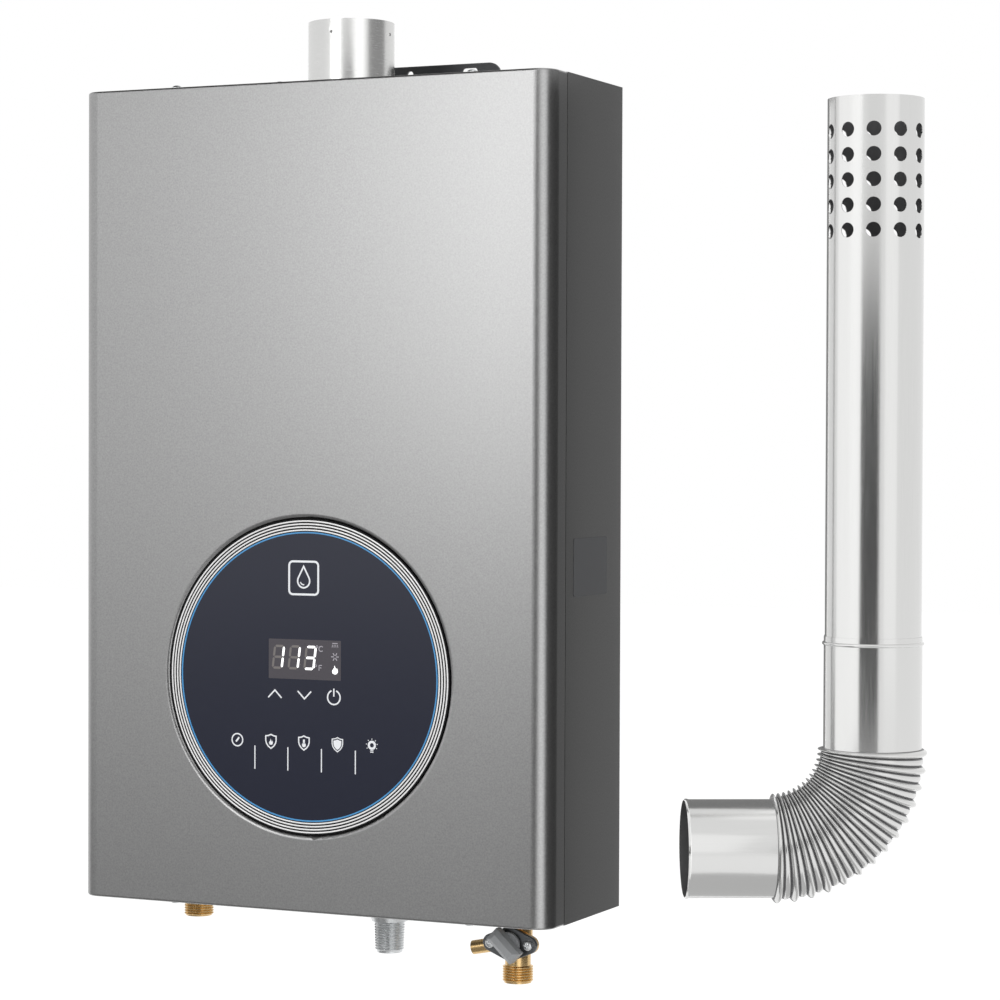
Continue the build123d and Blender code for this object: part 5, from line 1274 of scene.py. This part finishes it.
# The studio, in metres. A soft box has its place from the middle of the cabinet's front, and its
# width and height.
FRONT = Vector((0.0, -0.127, -0.3))
SOFT_BOXES = {
    "key": ((-0.592, -2.135, 0.615), (0.75, 1.25)),
    "fill": ((2.12, -1.13, 0.5), (1.2, 1.6)),
    "top": ((0.1, 0.1, 2.0), (1.6, 1.2)),
    "back": ((-0.9, 2.1, 0.8), (1.6, 1.6)),
}
# A narrow soft box beside the cabinet keeps the cabinet's dark side off the pipe's polish
STRIP_PLACE = Vector((0.19, -0.0615, -0.3))
STRIP_SIZE = (0.113, 0.55)
STRIP_RADIANCE = 0.9
# Upright cards have their foot's two ends, their lower and upper edge and their tone, which is the
# setting's where it is None. They give the pipe its dark stripe, the cabinet's corner its dark and
# light lines, the cabinet's side and the collar their grey, and the pipe its light half.
UPRIGHT_CARDS = {
    "camera_flag": ((1.633, -2.293), (-0.224, -2.541), -0.75, -0.05, None),
    "corner_flag": ((0.211, -0.39), (0.06, -0.605), -0.75, 0.045, None),
    "edge_flag": ((0.235, 0.0), (0.235, -0.155), -0.64, -0.015, None),
    "side_flag": ((0.184, 0.015), (0.33, 0.015), -0.62, 0.005, 0.25),
    "collar_flag": ((0.25, 0.097), (0.25, -0.155), -0.01, 0.15, 0.35),
    "corner_card": ((0.356, -0.26), (0.856, -2.05), -0.75, 0.2, 1.7),
    "pipe_card": ((0.269, -0.603), (0.205, -0.172), -0.5, 0.05, 1.25),
}
# The grey mat in front of the cabinet: its corners, and its tone at the far and the near end
MAT_CORNERS = ((-6.0, -9.0), (-2.0, -9.0), (0.2, -0.1), (-6.0, -0.1))
MAT_FAR, MAT_NEAR = -9.0, -0.6
MAT_FAR_TONE, MAT_NEAR_TONE = 0.82, 0.28
MAT_LIFT = 2 * MM
# The grey mat under the pipe and the dark card above the cabinet: two opposite corners
PIPE_MAT = ((0.2, -0.37), (0.6, 0.4))
PIPE_MAT_TONE = 0.62
TOP_FLAG = ((-0.5, -0.75), (0.12, 0.15))
TOP_FLAG_HEIGHT = 0.25
FLOOR_REACH = 9.0
FLOOR_GREY = 0.8
FLOOR_LIFT = 0.36
SKY_GREY = 0.85
WHITE = (1.0, 1.0, 1.0, 1.0)


def level_corners(low, high, height):
    """Corners of a level rectangle between two opposite ones, anticlockwise from above."""
    return [
        (low[0], low[1], height), (high[0], low[1], height),
        (high[0], high[1], height), (low[0], high[1], height),
    ]


class HEATER_OT_stage(bpy.types.Operator):
    """Set the floor, the soft lights, the white surroundings and the camera."""

    bl_idname = "heater.stage"
    bl_label = "Stage"

    def plane(self, name, corners, material):
        mesh = bpy.data.meshes.new(name)
        mesh.from_pydata(corners, [], [(0, 1, 2, 3)])
        mesh.materials.append(material)
        made = new_object(name, mesh)
        return made

    def flag(self, name, foot_start, foot_end, low, high, tone):
        """An upright card, seen from the side where its foot runs to the right."""
        self.card(name, [
            (*foot_start, low), (*foot_end, low), (*foot_end, high), (*foot_start, high),
        ], tone)

    def card(self, name, corners, tone):
        """A flat card that only reflections see, from the side where its corners run anticlockwise."""
        paper, tree, shader = surface(name + "_card", {})
        tree.nodes.remove(shader)
        back = add(tree, "ShaderNodeNewGeometry", {}, {})
        grey = add(tree, "ShaderNodeEmission", {}, {"Color": (tone, tone, tone, 1.0), "Strength": 1.0})
        clear = add(tree, "ShaderNodeBsdfTransparent", {}, {})
        mixed = add(tree, "ShaderNodeMixShader", {}, {
            0: back.outputs["Backfacing"], 1: grey.outputs["Emission"], 2: clear.outputs["BSDF"],
        })
        tree.links.new(mixed.outputs["Shader"], tree.nodes["Material Output"].inputs["Surface"])
        self.reflected_only(self.plane(name, corners, paper))

    def graded_mat(self, height):
        """A grey mat that only reflections see, paler the farther it lies in front of the cabinet."""
        cloth, tree, shader = surface("graded_mat", {})
        tree.nodes.remove(shader)
        spot = add(tree, "ShaderNodeTexCoord", {}, {})
        along = add(tree, "ShaderNodeSeparateXYZ", {}, {"Vector": spot.outputs["Object"]})
        tone = add(tree, "ShaderNodeMapRange", {}, {
            "Value": along.outputs["Y"], "From Min": MAT_FAR, "From Max": MAT_NEAR,
            "To Min": MAT_FAR_TONE, "To Max": MAT_NEAR_TONE,
        })
        grey = add(tree, "ShaderNodeEmission", {}, {"Color": WHITE, "Strength": tone.outputs["Result"]})
        tree.links.new(grey.outputs["Emission"], tree.nodes["Material Output"].inputs["Surface"])
        corners = [(x, y, height) for x, y in MAT_CORNERS]
        self.reflected_only(self.plane("graded_mat", corners, cloth))

    def reflected_only(self, made):
        made.visible_camera = False
        made.visible_diffuse = False
        made.visible_transmission = False
        made.visible_shadow = False

    def lamp(self, name, place, target, size, radiance):
        """A soft box of an even radiance, where 1 is as bright as the white surroundings."""
        light = bpy.data.lights.new(name, "AREA")
        light.shape = "RECTANGLE"
        light.size, light.size_y = size
        light.energy = radiance * math.pi * size[0] * size[1]
        made = new_object(name, light)
        made.location = place
        made.rotation_euler = (Vector(target) - Vector(place)).to_track_quat("-Z", "Y").to_euler()

    def seen_share(self, tree):
        """1 for what the camera, mirrors and glass see, 0 for what only lights other surfaces."""
        path = add(tree, "ShaderNodeLightPath", {}, {})
        seen = add(tree, "ShaderNodeMath", {"operation": "MAXIMUM"}, {
            0: path.outputs["Is Camera Ray"], 1: path.outputs["Is Glossy Ray"],
        })
        any_seen = add(tree, "ShaderNodeMath", {"operation": "MAXIMUM"}, {
            0: seen.outputs[0], 1: path.outputs["Is Transmission Ray"],
        })
        return any_seen.outputs[0]

    def surroundings(self, scene):
        """Soft grey light from all round that the camera and the mirrors see as white."""
        world = bpy.data.worlds.new("white_studio")
        world.use_nodes = True
        tree = world.node_tree
        sky = tree.nodes["Background"]
        sky.inputs["Color"].default_value = (SKY_GREY, SKY_GREY, SKY_GREY, 1.0)
        white = add(tree, "ShaderNodeBackground", {}, {"Color": WHITE, "Strength": 1.0})
        mixed = add(tree, "ShaderNodeMixShader", {}, {
            0: self.seen_share(tree), 1: sky.outputs["Background"], 2: white.outputs["Background"],
        })
        tree.links.new(mixed.outputs["Shader"], tree.nodes["World Output"].inputs["Surface"])
        scene.world = world

    def floor(self, drop):
        """A pale floor whose lift to white leaves the object's shadow on it."""
        paint, tree, shader = surface("pale_floor", {
            "Base Color": (FLOOR_GREY, FLOOR_GREY, FLOOR_GREY, 1.0), "Roughness": 0.9,
            "Specular IOR Level": 0.0,
        })
        lift = add(tree, "ShaderNodeMath", {"operation": "MULTIPLY"}, {
            0: self.seen_share(tree), 1: FLOOR_LIFT,
        })
        glow = add(tree, "ShaderNodeEmission", {}, {"Color": WHITE, "Strength": lift.outputs[0]})
        both = add(tree, "ShaderNodeAddShader", {}, {
            0: shader.outputs["BSDF"], 1: glow.outputs["Emission"],
        })
        tree.links.new(both.outputs["Shader"], tree.nodes["Material Output"].inputs["Surface"])
        floor_z = CAD_BOX[0].z - drop
        corners = level_corners((-FLOOR_REACH, -FLOOR_REACH), (FLOOR_REACH, FLOOR_REACH), floor_z)
        self.plane("floor", corners, paint)
        return floor_z

    def execute(self, context):
        settings = context.scene.heater_stage
        scene = context.scene
        scene.view_settings.view_transform = "Standard"
        self.surroundings(scene)
        floor_z = self.floor(settings.floor_drop)

        for name, (place, size) in SOFT_BOXES.items():
            radiance = settings.key if name == "key" else settings.fill
            self.lamp(name, FRONT + Vector(place), FRONT, size, radiance)
        right = Vector((1.0, 0.0, 0.0))
        self.lamp("strip", STRIP_PLACE, STRIP_PLACE + right, STRIP_SIZE, STRIP_RADIANCE)

        mat_z = floor_z + MAT_LIFT
        self.graded_mat(mat_z)
        for name, (foot_start, foot_end, low, high, tone) in UPRIGHT_CARDS.items():
            self.flag(name, foot_start, foot_end, low, high, settings.flag if tone is None else tone)
        self.card("pipe_mat", level_corners(*PIPE_MAT, mat_z), PIPE_MAT_TONE)
        seen_from_below = level_corners(*TOP_FLAG, TOP_FLAG_HEIGHT)[::-1]
        self.card("top_flag", seen_from_below, settings.flag)

        camera = bpy.data.cameras.new("camera")
        camera.lens = settings.lens
        camera.sensor_width = 36.0
        viewer = new_object("camera", camera)
        turn = Matrix.Rotation(settings.camera_turn, 4, "Z")
        fall = Matrix.Rotation(math.pi / 2 - settings.camera_fall, 4, "X")
        roll = Matrix.Rotation(settings.camera_roll, 4, "Z")
        viewer.matrix_world = Matrix.Translation(settings.camera_place) @ turn @ fall @ roll
        scene.camera = viewer
        return {"FINISHED"}


class HEATER_PT_panel(bpy.types.Panel):
    bl_label = "Tankless water heater"
    bl_idname = "HEATER_PT_panel"
    bl_space_type = "VIEW_3D"
    bl_region_type = "UI"
    bl_category = "Heater"

    def draw(self, context):
        for operator in OPERATORS:
            self.layout.operator(operator.bl_idname)
        for key in SETTINGS:
            group = getattr(context.scene, key)
            box = self.layout.box()
            for name in group.__annotations__:
                box.prop(group, name)


SETTINGS = {
    "heater_cabinet": HeaterCabinet,
    "heater_panel": HeaterPanel,
    "heater_pipe": HeaterPipe,
    "heater_fittings": HeaterFittings,
    "heater_stage": HeaterStage,
}
OPERATORS = [
    HEATER_OT_cabinet, HEATER_OT_brackets, HEATER_OT_collar, HEATER_OT_screws, HEATER_OT_panel,
    HEATER_OT_print, HEATER_OT_ports, HEATER_OT_flue_pipe, HEATER_OT_inside, HEATER_OT_stage,
]


def register():
    for made in [*SETTINGS.values(), *OPERATORS, HEATER_PT_panel]:
        bpy.utils.register_class(made)
    for key, group in SETTINGS.items():
        setattr(bpy.types.Scene, key, bpy.props.PointerProperty(type=group))


def unregister():
    for key in SETTINGS:
        delattr(bpy.types.Scene, key)
    for made in reversed([*SETTINGS.values(), *OPERATORS, HEATER_PT_panel]):
        bpy.utils.unregister_class(made)


def main():
    register()
    bpy.ops.heater.cabinet()
    bpy.ops.heater.brackets()
    bpy.ops.heater.collar()
    bpy.ops.heater.screws()
    bpy.ops.heater.panel()
    bpy.ops.heater.print()
    bpy.ops.heater.ports()
    bpy.ops.heater.flue_pipe()
    bpy.ops.heater.inside()
    bpy.ops.heater.stage()


if __name__ == "__main__":
    main()
